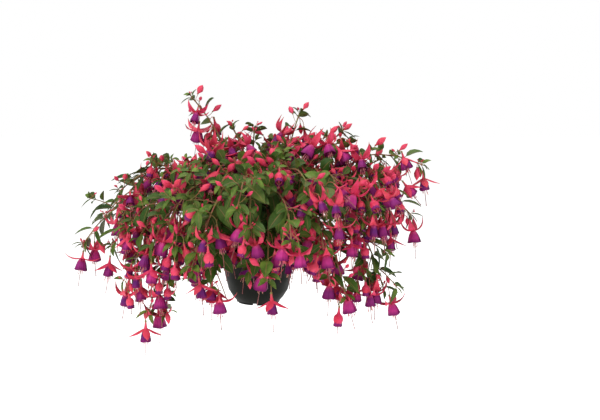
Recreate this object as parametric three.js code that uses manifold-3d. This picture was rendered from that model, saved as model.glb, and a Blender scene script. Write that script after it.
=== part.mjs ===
// A fuchsia in a hanging pot: arching leafy stems rooted in a dark plastic bowl pot, with
// pendant red and violet blooms and red buds along the outer part of each stem.
//
// Millimetres, +Z up. The origin is the centre of the pot's rim plane, under the hook that
// would carry the pot, and -Y is the front. Each leafy stem, with the leaves, buds and blooms
// that grow from it, is one solid that stands in its own hole in the compost.
import * as THREE from "three";
import { mergeVertices } from "three/addons/utils/BufferGeometryUtils.js";
import Module from "manifold-3d";

const wasm = await Module();
wasm.setup();

const { PI, abs, cos, floor, hypot, max, min, sin, sqrt } = Math;
const DEGREE = PI / 180;
const GAP = 0.3; // clearance between solids that touch on the real plant and pot
const SLIVERS = [0.3, 0.2, 0.15, 0.1, 0.07, 0.05, 0.02, 0.01]; // edges closed up, if they can be

// ------------------------------------------------------------------ driving dimensions

const POT = {
  rim: 73, // outer radius of the rolled rim
  underRim: 68.7, // outside of the wall just under the rim
  shoulder: 60, // radius where the straight wall turns into the bowl
  shoulderHeight: 48, // of that turn, above the feet
  foot: 40, // outer radius of the ring of feet
  height: 105,
  wall: 1.8,
  rimDepth: 5,
  sides: 28,
};
const FEET = { count: 6, height: 3.5, notch: 7, firstNotch: -100 };
const DRAIN = { count: 5, radius: 4, circle: 21, sides: 6 };
const EARS = { count: 3, rise: 10, width: 13, thickness: 3, hole: 2.4, first: 90 };
const COMPOST = { rimHeight: -14, radius: 64, dome: 5, sides: 24 };
const HOLE = { depth: 14, radius: 2.9, reach: 57, lean: 0.24 };

const STEM = {
  base: 2,
  tip: 1.1,
  ball: 1.7, // radius that a stem keeps clear round its centre line
  sides: 3,
  segments: 8,
  plan: [0.13, 0.7],
  sway: 16,
  spacing: 1.5,
};
const LEAF = {
  length: 42,
  width: 0.26, // half width over length
  middle: 0.6, // half thickness at the midrib
  petiole: 0.65,
  fold: 0.16,
  droop: 0.34,
  internode: 25,
  firstNode: 12,
};
const BLOOM = {
  pedicel: [16, 31],
  pedicelRadius: 0.8,
  reach: [8, 14],
  tube: 12,
  tubeRadius: 2.3,
  calyx: 3.8,
  sepal: 30,
  sepalWidth: 4.2,
  sepalThickness: 0.5,
  lift: [4, 58], // degrees that the sepals of an open bloom rise above level
  corolla: 23,
  middle: 9,
  mouth: 11.8,
  pistil: 31,
  pistilRadius: 0.9,
};
const BUD = { length: [10, 26], girth: 0.22, pedicel: [9, 24], pedicelRadius: 0.65 };

const COLOURS = { pot: 0x2b322c, compost: 0x3a2a1e, stem: 0x4f7a37 };

// Every leafy stem: where its tip ends, how high it arches on the way there (0 for a shoot that
// only climbs), and how many blooms, buds and large leaves it carries.
const STEMS = [
  // climbing shoots
  { tip: [-119, -20, 268], crest: 0, blooms: 2, buds: 3, leaves: 4 },
  { tip: [75, 20, 238], crest: 0, blooms: 2, buds: 2, leaves: 4 },
  { tip: [150, -20, 208], crest: 0, blooms: 2, buds: 1, leaves: 4 },
  { tip: [218, -30, 158], crest: 0, blooms: 2, buds: 2, leaves: 3 },
  { tip: [-6, 20, 212], crest: 0, blooms: 1, buds: 2, leaves: 3 },
  { tip: [-48, -10, 216], crest: 0, blooms: 1, buds: 1, leaves: 3 },
  { tip: [-186, -40, 156], crest: 0, blooms: 1, buds: 2, leaves: 3 },
  // trailing to the left
  { tip: [-247, -25, 98], crest: 138, blooms: 2, buds: 2, leaves: 3 },
  { tip: [-312, -32, 4], crest: 100, blooms: 2, buds: 1, leaves: 3 },
  { tip: [-254, -75, 8], crest: 96, blooms: 2, buds: 1, leaves: 3 },
  { tip: [-187, -112, -100], crest: 96, blooms: 3, buds: 2, leaves: 4 },
  { tip: [-202, -125, 28], crest: 112, blooms: 3, buds: 1, leaves: 2 },
  { tip: [-147, -172, 62], crest: 125, blooms: 2, buds: 1, leaves: 2 },
  { tip: [-109, -196, -14], crest: 92, blooms: 3, buds: 1, leaves: 2 },
  { tip: [-88, -204, 50], crest: 118, blooms: 1, buds: 0, leaves: 3 },
  // trailing over the front
  { tip: [-34, -222, 92], crest: 140, blooms: 0, buds: 1, leaves: 4 },
  { tip: [-78, -186, -40], crest: 82, blooms: 2, buds: 0, leaves: 3 },
  { tip: [-13, -218, 62], crest: 124, blooms: 2, buds: 0, leaves: 3 },
  { tip: [14, -204, -26], crest: 92, blooms: 3, buds: 0, leaves: 2 },
  { tip: [52, -230, 44], crest: 116, blooms: 2, buds: 2, leaves: 3 },
  // trailing to the right
  { tip: [84, -192, 108], crest: 146, blooms: 1, buds: 1, leaves: 3 },
  { tip: [107, -184, 20], crest: 106, blooms: 2, buds: 1, leaves: 2 },
  { tip: [146, -152, -62], crest: 92, blooms: 3, buds: 1, leaves: 2 },
  { tip: [154, -146, 100], crest: 138, blooms: 2, buds: 1, leaves: 3 },
  { tip: [216, -94, -62], crest: 96, blooms: 2, buds: 1, leaves: 3 },
  { tip: [236, -62, 52], crest: 124, blooms: 2, buds: 1, leaves: 3 },
  { tip: [290, -34, 146], crest: 156, blooms: 2, buds: 3, leaves: 3 },
  // leafy crown
  { tip: [-62, -142, 128], crest: 146, blooms: 1, buds: 1, leaves: 4 },
  { tip: [38, -134, 142], crest: 150, blooms: 1, buds: 0, leaves: 4 },
  // the back
  { tip: [286, 68, 42], crest: 112, blooms: 2, buds: 1, leaves: 3 },
  { tip: [204, 176, 26], crest: 112, blooms: 2, buds: 1, leaves: 3 },
  { tip: [94, 238, 40], crest: 118, blooms: 1, buds: 1, leaves: 3 },
  { tip: [-16, 252, 10], crest: 106, blooms: 2, buds: 1, leaves: 3 },
  { tip: [-114, 226, 44], crest: 120, blooms: 1, buds: 1, leaves: 3 },
  { tip: [-206, 172, 24], crest: 110, blooms: 1, buds: 1, leaves: 3 },
  { tip: [-288, 74, 40], crest: 112, blooms: 2, buds: 1, leaves: 3 },
  { tip: [120, 150, -58], crest: 90, blooms: 1, buds: 1, leaves: 2 },
  { tip: [-126, 146, -60], crest: 90, blooms: 2, buds: 1, leaves: 2 },
  { tip: [60, 140, 150], crest: 156, blooms: 1, buds: 1, leaves: 3 },
  { tip: [-80, 130, 152], crest: 156, blooms: 1, buds: 1, leaves: 3 },
  { tip: [160, 84, 128], crest: 144, blooms: 1, buds: 1, leaves: 3 },
];

// ------------------------------------------------------------------ small vector helpers

const vec = (x, y, z) => new THREE.Vector3(x, y, z);
const UP = vec(0, 0, 1);
const along = (point, direction, length) => point.clone().addScaledVector(direction, length);
const blend = (a, b, share) => a.clone().lerp(b, share);
const cross = (a, b) => a.clone().cross(b);
const unit = (x, y, z) => vec(x, y, z).normalize();
const STEM_FACE = unit(1, 0.35, 0); // the way one edge of every stem and hole points

/** A seeded stream of draws between 0 and 1. */
function draws(seed) {
  let state = seed >>> 0;
  return () => {
    state = (state + 0x6d2b79f5) >>> 0;
    let mixed = state;
    mixed = Math.imul(mixed ^ (mixed >>> 15), mixed | 1);
    mixed ^= mixed + Math.imul(mixed ^ (mixed >>> 7), mixed | 61);
    return ((mixed ^ (mixed >>> 14)) >>> 0) / 4294967296;
  };
}

const between = (range, share) => range[0] + (range[1] - range[0]) * share;

// ------------------------------------------------------------------ where everything grows

/** Height of the compost's domed top at a radius. */
function compostTop(radius) {
  return COMPOST.rimHeight + COMPOST.dome * (1 - (radius / COMPOST.radius) ** 2);
}

/** Holes spread over the compost like sunflower seeds, each given to the stem that leans its way. */
function chooseHoles() {
  const golden = PI * (3 - sqrt(5));
  const free = STEMS.map((_, i) => {
    const radius = HOLE.reach * sqrt((i + 0.5) / STEMS.length);
    return [radius * cos(i * golden), radius * sin(i * golden)];
  });
  const reach = STEMS.map((stem) => hypot(stem.tip[0], stem.tip[1]));
  const order = STEMS.map((_, i) => i).sort((a, b) => reach[b] - reach[a] || a - b);
  const holes = [];
  for (const index of order) {
    const { tip } = STEMS[index];
    const wanted = min(HOLE.reach, reach[index] * HOLE.lean) / reach[index];
    const miss = free.map(([x, y]) => hypot(x - tip[0] * wanted, y - tip[1] * wanted));
    const best = miss.indexOf(min(...miss));
    holes[index] = free.splice(best, 1)[0];
  }
  return holes;
}

/** A stem's centre line: out of its hole, then an arch cut into equal chords, ending at the tip. */
function stemPath(stem, [x, y], sway) {
  const ground = compostTop(hypot(x, y));
  const tip = vec(...stem.tip);
  const base = vec(x, y, ground + 1);
  const out = vec(tip.x - x, tip.y - y, 0);
  const across = vec(-out.y, out.x, 0).normalize();
  const arch = stem.crest * 1.33 - tip.z / 6;
  const heights = stem.crest ? [arch, arch] : [tip.z * 0.45, tip.z * 0.85];
  const control = STEM.plan.map((share, i) => {
    const point = along(base, out, share).setZ(heights[i]);
    return along(point, across, sway[i]);
  });
  const arc = new THREE.CubicBezierCurve3(base, control[0], control[1], tip);
  const bottom = vec(x, y, ground - HOLE.depth + GAP);
  return [bottom, ...arc.getSpacedPoints(STEM.segments)];
}

/** The point and direction at a distance back from the tip, along a path's chords. */
function walkBack(path, distance) {
  let left = distance;
  for (let i = path.length - 1; i > 0; i--) {
    const chord = path[i].distanceTo(path[i - 1]);
    if (left <= chord || i === 1) {
      const direction = path[i].clone().sub(path[i - 1]).normalize();
      return { point: along(path[i], direction, -left), direction };
    }
    left -= chord;
  }
}

/** Length of a path above the compost. */
function pathLength(path) {
  let total = 0;
  for (let i = 2; i < path.length; i++) total += path[i].distanceTo(path[i - 1]);
  return total;
}

/** Balls strung along a path, for keeping other things clear of it. */
function pathBalls(path) {
  const balls = [];
  for (let i = 1; i < path.length; i++) {
    const count = max(1, floor(path[i].distanceTo(path[i - 1]) / 4));
    for (let j = 0; j < count; j++) balls.push([blend(path[i - 1], path[i], j / count), STEM.ball]);
  }
  balls.push([path.at(-1), STEM.ball]);
  return balls;
}

/** True where a ball would touch the pot, its rim or its hanging ears. */
function hitsPot([centre, radius]) {
  const level = centre.z - radius;
  return level < EARS.rise + 3 && hypot(centre.x, centre.y) < POT.rim + radius + 2;
}

/** Least free space between one item's balls and those already placed. */
function clearance(balls, placed) {
  let least = Infinity;
  for (const [a, radius] of balls) {
    for (const [b, other] of placed) {
      const reach = radius + other + 12;
      if (abs(a.x - b.x) > reach || abs(a.y - b.y) > reach || abs(a.z - b.z) > reach) continue;
      least = min(least, a.distanceTo(b) - radius - other);
    }
  }
  return least;
}

/** The centre lines of all stems, each swayed until it passes clear of those before it. */
function growPaths() {
  const holes = chooseHoles();
  const placed = [];
  return STEMS.map((stem, index) => {
    const draw = draws(1000 + index);
    let best = null;
    for (let attempt = 0; attempt < 120; attempt++) {
      const swing = STEM.sway * (1 + attempt / 30);
      const sway = [swing * (2 * draw() - 1), swing * (2 * draw() - 1)];
      const path = stemPath(stem, holes[index], sway);
      const balls = pathBalls(path);
      const space = clearance(balls, placed);
      if (!best || space > best.space) best = { path, balls, space };
      if (space >= STEM.spacing) break;
    }
    if (best.space < STEM.spacing) console.error("stem", index + 1, "passes at", best.space);
    placed.push(...best.balls);
    return best.path;
  });
}

/** A side direction at a node, turned about the stem: 0 and 180 level, 90 above. */
function sideways(direction, turn) {
  const level = cross(direction, UP);
  if (level.length() < 0.2) level.set(1, 0, 0).addScaledVector(direction, -direction.x);
  level.normalize();
  const above = cross(level, direction);
  return level.multiplyScalar(cos(turn)).addScaledVector(above, sin(turn));
}

/** A leaf from its node: a drooping midrib and a blade that faces up and outward. */
function leafAt(point, direction, turn, size) {
  const side = sideways(direction, turn);
  const way = side.addScaledVector(direction, 0.55).addScaledVector(UP, -0.12).normalize();
  const outward = unit(point.x, point.y, 0).multiplyScalar(0.75).addScaledVector(UP, 0.75);
  const length = LEAF.length * size;
  const rib = (u) => {
    const spot = along(point, way, length * u);
    return spot.addScaledVector(UP, -LEAF.droop * length * u * u);
  };
  const frame = (u) => {
    const forward = along(way, UP, -2 * LEAF.droop * u).normalize();
    const face = along(outward, forward, -outward.dot(forward)).normalize();
    return { centre: rib(u), across: cross(face, forward), face };
  };
  return { kind: "leaf", point, length, frame };
}

function leafBalls({ length, frame }) {
  const balls = [];
  for (const [u, offset, radius] of [
    [0.1, 0, 0.05],
    [0.22, 0, 0.09],
    [0.42, -0.13, 0.12],
    [0.42, 0.13, 0.12],
    [0.62, -0.1, 0.11],
    [0.62, 0.1, 0.11],
    [0.82, 0, 0.1],
    [1, 0, 0.05],
  ]) {
    const { centre, across } = frame(u);
    balls.push([along(centre, across, offset * length), radius * length]);
  }
  return balls;
}

/** A bloom on a pedicel that leaves its node at an azimuth and bends to hang. */
function bloomAt(point, azimuth, share, draw) {
  const out = vec(cos(azimuth), sin(azimuth), 0);
  const across = cross(UP, out);
  const drop = between(BLOOM.pedicel, share);
  const reach = between(BLOOM.reach, draw());
  const tilt = 0.32 * draw();
  const down = vec(out.x * tilt, out.y * tilt, -1).normalize();
  const size = 0.9 + 0.16 * draw();
  const open = draw() < 0.2 ? 0.45 : 0.8 + 0.2 * draw();
  const lift = open < 0.5 ? -28 : between(BLOOM.lift, draw());
  const roll = draw() * PI;
  const middle = along(along(point, out, reach * 0.75), UP, -drop * 0.3);
  const top = along(along(point, out, reach), UP, -drop);
  return { kind: "bloom", point, out, across, middle, top, down, size, open, lift, roll };
}

/** A bloom's own axes at a roll angle, and a point by radius and depth below the tube's top. */
function bloomSpot({ across, top, down, size, roll }, angle, radius, depth) {
  const first = cross(across, down);
  const spoke = first.multiplyScalar(cos(angle + roll)).addScaledVector(across, sin(angle + roll));
  return along(along(top, down, depth * size), spoke, radius * size);
}

function bloomBalls(bloom) {
  const { point, middle, top, open } = bloom;
  const centre = (depth) => bloomSpot(bloom, 0, 0, depth);
  const spread = 0.5 + 0.5 * open;
  const balls = [
    [blend(point, middle, 0.6), 1.2],
    [middle, 1.2],
    [blend(middle, top, 0.5), 1.2],
    [top, 2.2],
    [centre(BLOOM.tube * 0.5), 3],
    [centre(BLOOM.tube), 5],
    [centre(BLOOM.tube + 8), 8.5],
    [centre(BLOOM.tube + 16), 11 * spread],
    [centre(BLOOM.tube + BLOOM.corolla - 1), 11.5 * spread],
    [centre(BLOOM.tube + BLOOM.corolla + 9), 3],
    [centre(BLOOM.tube + BLOOM.corolla + 17), 2],
    [centre(BLOOM.tube + BLOOM.corolla + 24), 2],
    [centre(BLOOM.tube + BLOOM.corolla + 31), 2],
  ];
  for (let k = 0; k < 4; k++) {
    const { station, tip } = sepalLine(bloom, k);
    const inner = blend(centre(BLOOM.tube), station, 0.55);
    balls.push([inner, 3], [station, 3], [blend(station, tip, 0.5), 2.5], [tip, 2]);
  }
  return balls;
}

/** A sepal's widest station and its tip: swept up when open, folded down on a young bloom. */
function sepalLine(bloom, k) {
  const angle = (k + 0.5) * (PI / 2);
  const run = (share, rise) => {
    const radius = BLOOM.calyx + BLOOM.sepal * share * cos(rise * DEGREE);
    return bloomSpot(bloom, angle, radius, BLOOM.tube - BLOOM.sepal * share * sin(rise * DEGREE));
  };
  return { angle, station: run(0.45, bloom.lift * 0.75 - 8), tip: run(1, bloom.lift) };
}

/** A bud on its own short pedicel: pointing up near the tip of a stem, hanging further back. */
function budAt(point, azimuth, share, upright, draw) {
  const out = vec(cos(azimuth), sin(azimuth), 0);
  const across = cross(UP, out);
  const drop = between(BUD.pedicel, draw());
  const length = between(BUD.length, share);
  const fall = upright ? 0.5 : -1;
  const middle = along(along(point, out, drop * 0.45), UP, upright ? drop * 0.3 : 0);
  const neck = along(middle, unit(out.x * 0.45, out.y * 0.45, fall), drop * 0.6);
  const way = unit(out.x * 0.35, out.y * 0.35, upright ? 0.25 : -1);
  return { kind: "bud", point, out, across, middle, neck, way, length };
}

function budBalls({ middle, neck, way, length }) {
  return [
    [middle, 1.2],
    [neck, 1.4],
    [along(neck, way, length * 0.4), length * BUD.girth + 0.6],
    [along(neck, way, length * 0.75), length * BUD.girth * 0.8],
    [along(neck, way, length), 0.8],
  ];
}

/** Everything that grows on the stems: each item takes the first free place on offer. */
function growItems(paths) {
  const stemBalls = paths.map((path) => pathBalls(path));
  const placed = [];
  const grown = paths.map(() => []);

  const place = (index, item, balls, margin) => {
    if (balls.some(hitsPot)) return false;
    const space = balls.length && clearance(balls, placed);
    if (space < margin) return false;
    for (let i = 0; i < paths.length; i++) {
      const near = i === index ? balls.filter(([c]) => c.distanceTo(item.point) > 8) : balls;
      if (clearance(near, stemBalls[i]) < margin) return false;
    }
    placed.push(...balls);
    grown[index].push(item);
    return true;
  };

  const nodesOf = (path) => {
    const count = floor((pathLength(path) - 45 - LEAF.firstNode) / LEAF.internode);
    return Array.from({ length: max(2, count) }, (_, k) => ({
      k,
      ...walkBack(path, LEAF.firstNode + LEAF.internode * k),
    }));
  };

  STEMS.forEach((stem, index) => {
    const draw = draws(2000 + index);
    const nodes = nodesOf(paths[index]);
    const order = stem.crest ? [1, 0, 2, 3, 1, 2, 0, 3, 4] : [2, 1, 3, 2, 1, 3, 4, 4, 0];
    const slots = order.filter((k) => k < nodes.length);
    let wanted = stem.blooms;
    for (const k of slots) {
      if (!wanted) break;
      for (let attempt = 0; attempt < 14; attempt++) {
        const bloom = bloomAt(nodes[k].point, 2 * PI * draw(), draw(), draw);
        if (!place(index, bloom, bloomBalls(bloom), 1)) continue;
        wanted -= 1;
        break;
      }
    }
    if (wanted) console.error(`stem ${index + 1} lacks ${wanted} blooms`);
  });

  STEMS.forEach((stem, index) => {
    const draw = draws(3000 + index);
    const nodes = nodesOf(paths[index]);
    const slots = [1, 3, 2, 4, 1, 3, 2, 0, 4, 5, 6].filter((k) => k < nodes.length);
    let wanted = stem.leaves;
    for (const k of slots) {
      if (!wanted) break;
      for (let attempt = 0; attempt < 8; attempt++) {
        const turn = (k % 2) * 90 + (draw() < 0.5 ? 0 : 180) + 50 * (draw() - 0.5);
        const size = (k ? 0.85 : 0.62) + 0.25 * draw();
        const leaf = leafAt(nodes[k].point, nodes[k].direction, turn * DEGREE, size);
        if (!place(index, leaf, leafBalls(leaf), 0.8)) continue;
        wanted -= 1;
        break;
      }
    }
    if (wanted) console.error(`stem ${index + 1} lacks ${wanted} leaves`);
  });

  STEMS.forEach((stem, index) => {
    const draw = draws(4000 + index);
    const nodes = nodesOf(paths[index]);
    const slots = [0, 0, 1, 2, 1, 3, 2].filter((k) => k < nodes.length);
    let wanted = stem.buds;
    for (const k of slots) {
      if (!wanted) break;
      for (let attempt = 0; attempt < 10; attempt++) {
        const upright = k === 0 && draw() < 0.4;
        const bud = budAt(nodes[k].point, 2 * PI * draw(), draw(), upright, draw);
        if (!place(index, bud, budBalls(bud), 0.8)) continue;
        wanted -= 1;
        break;
      }
    }
    if (wanted) console.error(`stem ${index + 1} lacks ${wanted} buds`);
  });
  return grown;
}

// ------------------------------------------------------------------ solids

/** Three.js geometry as a solid for joining and cutting. */
function toSolid(geometry) {
  const bare = new THREE.BufferGeometry();
  bare.setAttribute("position", geometry.getAttribute("position"));
  if (geometry.index) bare.setIndex(geometry.index);
  const merged = mergeVertices(bare, 1e-4);
  const vertProperties = new Float32Array(merged.getAttribute("position").array);
  const triVerts = new Uint32Array(merged.index.array);
  return new wasm.Manifold(new wasm.Mesh({ numProp: 3, vertProperties, triVerts }));
}

/** True when no two corners of a solid fall on one spot. */
function cornersApart(solid) {
  const { vertProperties, numVert } = solid.getMesh();
  const spots = new Set();
  for (let i = 0; i < numVert; i++) {
    const corner = vertProperties.subarray(3 * i, 3 * i + 3);
    spots.add(Array.from(corner, (value) => Math.round(value * 500)).join());
  }
  return spots.size === numVert;
}

/** Solids joined in one, with needless slivers closed up and any sealed hollow filled in. */
function fuse(pieces) {
  const joined = wasm.Manifold.union(pieces).asOriginal();
  const body = joined.decompose().sort((a, b) => b.volume() - a.volume())[0];
  const trials = SLIVERS.map((size) => body.simplify(size));
  return trials.find(cornersApart) ?? body;
}

/** A solid as a named mesh in its own colour. */
function toMesh(name, solid, colour, roughness) {
  const { vertProperties, triVerts } = solid.getMesh();
  const geometry = new THREE.BufferGeometry();
  geometry.setAttribute("position", new THREE.BufferAttribute(vertProperties, 3));
  geometry.setIndex(new THREE.BufferAttribute(triVerts, 1));
  geometry.computeVertexNormals();
  const material = new THREE.MeshStandardMaterial({ color: colour, roughness });
  const mesh = new THREE.Mesh(geometry, material);
  mesh.name = name;
  return mesh;
}

/** A closed surface under construction: rings of points joined by bands of triangles. */
class Skin {
  points = [];
  faces = [];

  ring(points) {
    const first = this.points.length;
    this.points.push(...points);
    return points.map((_, i) => first + i);
  }

  /** Joins two rings that run the same way round, whatever their counts. */
  band(a, b) {
    let i = 0;
    let j = 0;
    while (i < a.length || j < b.length) {
      const onA = a[i % a.length];
      const onB = b[j % b.length];
      if (j === b.length || (i < a.length && (i + 0.5) * b.length < (j + 0.5) * a.length)) {
        this.faces.push(onA, a[(i + 1) % a.length], onB);
        i += 1;
      } else {
        this.faces.push(onA, b[(j + 1) % b.length], onB);
        j += 1;
      }
    }
  }

  /** Closes a ring with a fan: at the start of a run, or at its end. */
  cap(ring, atStart) {
    for (let i = 1; i < ring.length - 1; i++) {
      const [b, c] = atStart ? [ring[i + 1], ring[i]] : [ring[i], ring[i + 1]];
      this.faces.push(ring[0], b, c);
    }
  }

  /** Closes a ring onto a single point. */
  point(ring, tip) {
    const [apex] = this.ring([tip]);
    ring.forEach((vertex, i) => this.faces.push(vertex, ring[(i + 1) % ring.length], apex));
  }

  solid() {
    const flat = this.points.flatMap((point) => point.toArray());
    const geometry = new THREE.BufferGeometry();
    geometry.setAttribute("position", new THREE.Float32BufferAttribute(flat, 3));
    geometry.setIndex(this.faces);
    return toSolid(geometry);
  }
}

/** Points round a centre; the ring runs counter-clockwise about first x second. */
function circle(centre, first, second, radius, sides, turn = 0) {
  return Array.from({ length: sides }, (_, i) => {
    const angle = turn + (2 * PI * i) / sides;
    return along(along(centre, first, radius * cos(angle)), second, radius * sin(angle));
  });
}

function stemSolid(path) {
  const skin = new Skin();
  let last = null;
  let first = STEM_FACE;
  path.forEach((centre, i) => {
    const before = path[max(i - 1, 0)];
    const after = path[min(i + 1, path.length - 1)];
    const direction = i < 2 ? UP : after.clone().sub(before).normalize();
    first = along(first, direction, -first.dot(direction)).normalize();
    const share = i / (path.length - 1);
    const radius = STEM.base + (STEM.tip - STEM.base) * share;
    const second = cross(direction, first);
    const ring = skin.ring(circle(centre, first, second, radius, STEM.sides));
    if (last) skin.band(last, ring);
    else skin.cap(ring, true);
    last = ring;
  });
  skin.cap(last, false);
  return skin.solid();
}

function leafSolid({ length, frame }) {
  const skin = new Skin();
  const kite = (u, half, thick) => {
    const { centre, across, face } = frame(u);
    const lift = half * LEAF.fold * 2;
    return skin.ring([
      along(along(centre, across, half), face, lift),
      along(centre, face, thick),
      along(along(centre, across, -half), face, lift),
      along(centre, face, -thick),
    ]);
  };
  const half = LEAF.width * length;
  const root = frame(0);
  const rings = [
    skin.ring(circle(root.centre, root.across, root.face, LEAF.petiole, 3)),
    kite(0.38, half, LEAF.middle),
    kite(0.7, half * 0.72, LEAF.middle),
  ];
  skin.cap(rings[0], true);
  for (let i = 1; i < rings.length; i++) skin.band(rings[i - 1], rings[i]);
  skin.point(rings.at(-1), frame(1).centre);
  return skin.solid();
}

function bloomSolid(bloom) {
  const { point, out, across, middle, top, down, roll, size, open } = bloom;
  const skin = new Skin();
  const pedicelRing = (centre, direction, radius) => {
    return skin.ring(circle(centre, cross(across, direction), across, radius, 3, roll));
  };
  const bend = top.clone().sub(point).normalize();
  const root = pedicelRing(point, out, BLOOM.pedicelRadius);
  const knee = pedicelRing(middle, bend, BLOOM.pedicelRadius);
  const neck = pedicelRing(top, down, BLOOM.tubeRadius * 0.75);
  skin.cap(root, true);
  skin.band(root, knee);
  skin.band(knee, neck);

  const spots = (offsets, radius, depth) =>
    offsets.map((offset) => bloomSpot(bloom, offset * (PI / 2), radius, depth));
  const quarters = [0, 1, 2, 3];
  const halves = [0.5, 1.5, 2.5, 3.5];
  const notches = skin.ring(spots(quarters, BLOOM.calyx, BLOOM.tube));
  const uppers = skin.ring(spots(halves, BLOOM.calyx, BLOOM.tube - 2));
  const lowers = skin.ring(spots(halves, BLOOM.calyx * 1.1, BLOOM.tube + 0.8));
  const woven = (a, b) => a.flatMap((vertex, i) => [vertex, b[i]]);
  skin.band(neck, woven(notches, uppers));

  quarters.forEach((k) => {
    const { angle, station, tip } = sepalLine(bloom, k);
    const spoke = bloomSpot(bloom, angle, 1, 0).sub(bloomSpot(bloom, angle, 0, 0)).normalize();
    const level = cross(down, spoke);
    const forward = tip.clone().sub(station).normalize();
    const under = cross(forward, level);
    const width = BLOOM.sepalWidth * size;
    const ring = skin.ring([
      along(station, level, width),
      along(station, under, BLOOM.sepalThickness),
      along(station, level, -width),
      along(station, under, -BLOOM.sepalThickness),
    ]);
    skin.band([notches[(k + 1) % 4], lowers[k], notches[k], uppers[k]], ring);
    skin.point(ring, tip);
  });

  const spread = 0.5 + 0.5 * open;
  const eight = quarters.flatMap((k) => [k, k + 0.5]);
  const deep = BLOOM.tube + BLOOM.corolla;
  const bell = skin.ring(spots(eight, BLOOM.middle * spread, BLOOM.tube + BLOOM.corolla * 0.5));
  const mouth = skin.ring(spots(eight, BLOOM.mouth * spread, deep));
  skin.band(woven(notches, lowers), bell);
  skin.band(bell, mouth);
  const style = skin.ring(spots([0, 4 / 3, 8 / 3], BLOOM.pistilRadius, deep - 2));
  skin.band(mouth, style);
  skin.point(style, bloomSpot(bloom, 0, 0, deep + BLOOM.pistil));
  return skin.solid();
}

function budSolid({ point, out, across, middle, neck, way, length }) {
  const skin = new Skin();
  const ring = (centre, direction, radius, sides = 3) =>
    skin.ring(circle(centre, cross(across, direction), across, radius, sides));
  const rings = [
    ring(point, out, BUD.pedicelRadius),
    ring(middle, neck.clone().sub(point).normalize(), BUD.pedicelRadius),
    ring(neck, way, BUD.pedicelRadius * 1.4),
    ring(along(neck, way, length * 0.45), way, length * BUD.girth, 4),
  ];
  skin.cap(rings[0], true);
  for (let i = 1; i < rings.length; i++) skin.band(rings[i - 1], rings[i]);
  skin.point(rings.at(-1), along(neck, way, length));
  return skin.solid();
}

const BUILDERS = { leaf: leafSolid, bloom: bloomSolid, bud: budSolid };

// ------------------------------------------------------------------ pot and compost

function lathe(profile, sides) {
  const points = profile.map(([radius, height]) => new THREE.Vector2(radius, height));
  const geometry = new THREE.LatheGeometry(points, sides);
  geometry.rotateX(PI / 2);
  return toSolid(geometry);
}

/** An upright prism on a ring of the pot, at an angle in degrees. */
function block(width, depth, height, radius, angle, bottom) {
  const geometry = new THREE.BoxGeometry(depth, width, height);
  geometry.translate(radius, 0, bottom + height / 2);
  geometry.rotateZ(angle * DEGREE);
  return toSolid(geometry);
}

/** An upright prism to cut a hole with. */
function drill(x, y, bottom, height, radius, sides) {
  const skin = new Skin();
  const across = cross(UP, STEM_FACE);
  const low = skin.ring(circle(vec(x, y, bottom), STEM_FACE, across, radius, sides));
  const high = skin.ring(circle(vec(x, y, bottom + height), STEM_FACE, across, radius, sides));
  skin.cap(low, true);
  skin.band(low, high);
  skin.cap(high, false);
  return skin.solid();
}

const FLOOR = FEET.height - POT.height; // underside of the pot's floor

/** Outer radius of the pot's wall at a height below the rim plane. */
const WALL = [
  [POT.foot, FLOOR],
  [POT.foot + 6, FLOOR + 7],
  [POT.shoulder - 6, FLOOR + 20],
  [POT.shoulder, POT.shoulderHeight - POT.height],
  [POT.underRim, -POT.rimDepth],
];

function potSolid() {
  const { rim, wall, rimDepth } = POT;
  const inner = WALL.map(([radius, height]) => [radius - wall, height]);
  inner[0] = [POT.foot - wall, FLOOR + wall];
  inner[1] = [POT.foot + 6 - wall, FLOOR + 7 + wall * 0.4];
  inner[4] = [POT.underRim - wall, 0];
  const outline = [
    [0, FLOOR],
    ...WALL,
    [rim - 0.5, -rimDepth],
    [rim, -1.5],
    [rim - 1.5, 0],
    ...inner.reverse(),
    [0, FLOOR + wall],
  ];
  let pot = lathe(outline, POT.sides);

  const ring = [
    [POT.foot - 5, -POT.height],
    [POT.foot - 1, -POT.height],
    [POT.foot - 0.5, FLOOR + 0.4],
    [POT.foot - 5.5, FLOOR + 0.4],
    [POT.foot - 5, -POT.height],
  ];
  const step = 360 / FEET.count;
  let feet = lathe(ring, FEET.count * 4);
  for (let i = 0; i < FEET.count; i++) {
    const angle = FEET.firstNotch + step * i;
    feet = feet.subtract(block(FEET.notch, 20, FEET.height, POT.foot, angle, -POT.height - 0.1));
  }
  pot = pot.add(feet);

  for (let i = 0; i < EARS.count; i++) {
    const angle = EARS.first + (360 / EARS.count) * i;
    const middle = POT.underRim - POT.wall / 2 + 1.4;
    const ear = block(EARS.width, EARS.thickness, EARS.rise + 2, middle, angle, -2);
    const bore = new THREE.CylinderGeometry(EARS.hole, EARS.hole, 12, 8);
    bore.rotateZ(PI / 2);
    bore.translate(middle, 0, EARS.rise * 0.55);
    bore.rotateZ(angle * DEGREE);
    pot = pot.add(ear.subtract(toSolid(bore)));
  }
  for (let i = 0; i < DRAIN.count; i++) {
    const angle = (2 * PI * i) / DRAIN.count;
    const [x, y] = [DRAIN.circle * cos(angle), DRAIN.circle * sin(angle)];
    pot = pot.subtract(drill(x, y, FLOOR - 4, 12, DRAIN.radius, DRAIN.sides));
  }
  return pot;
}

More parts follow.
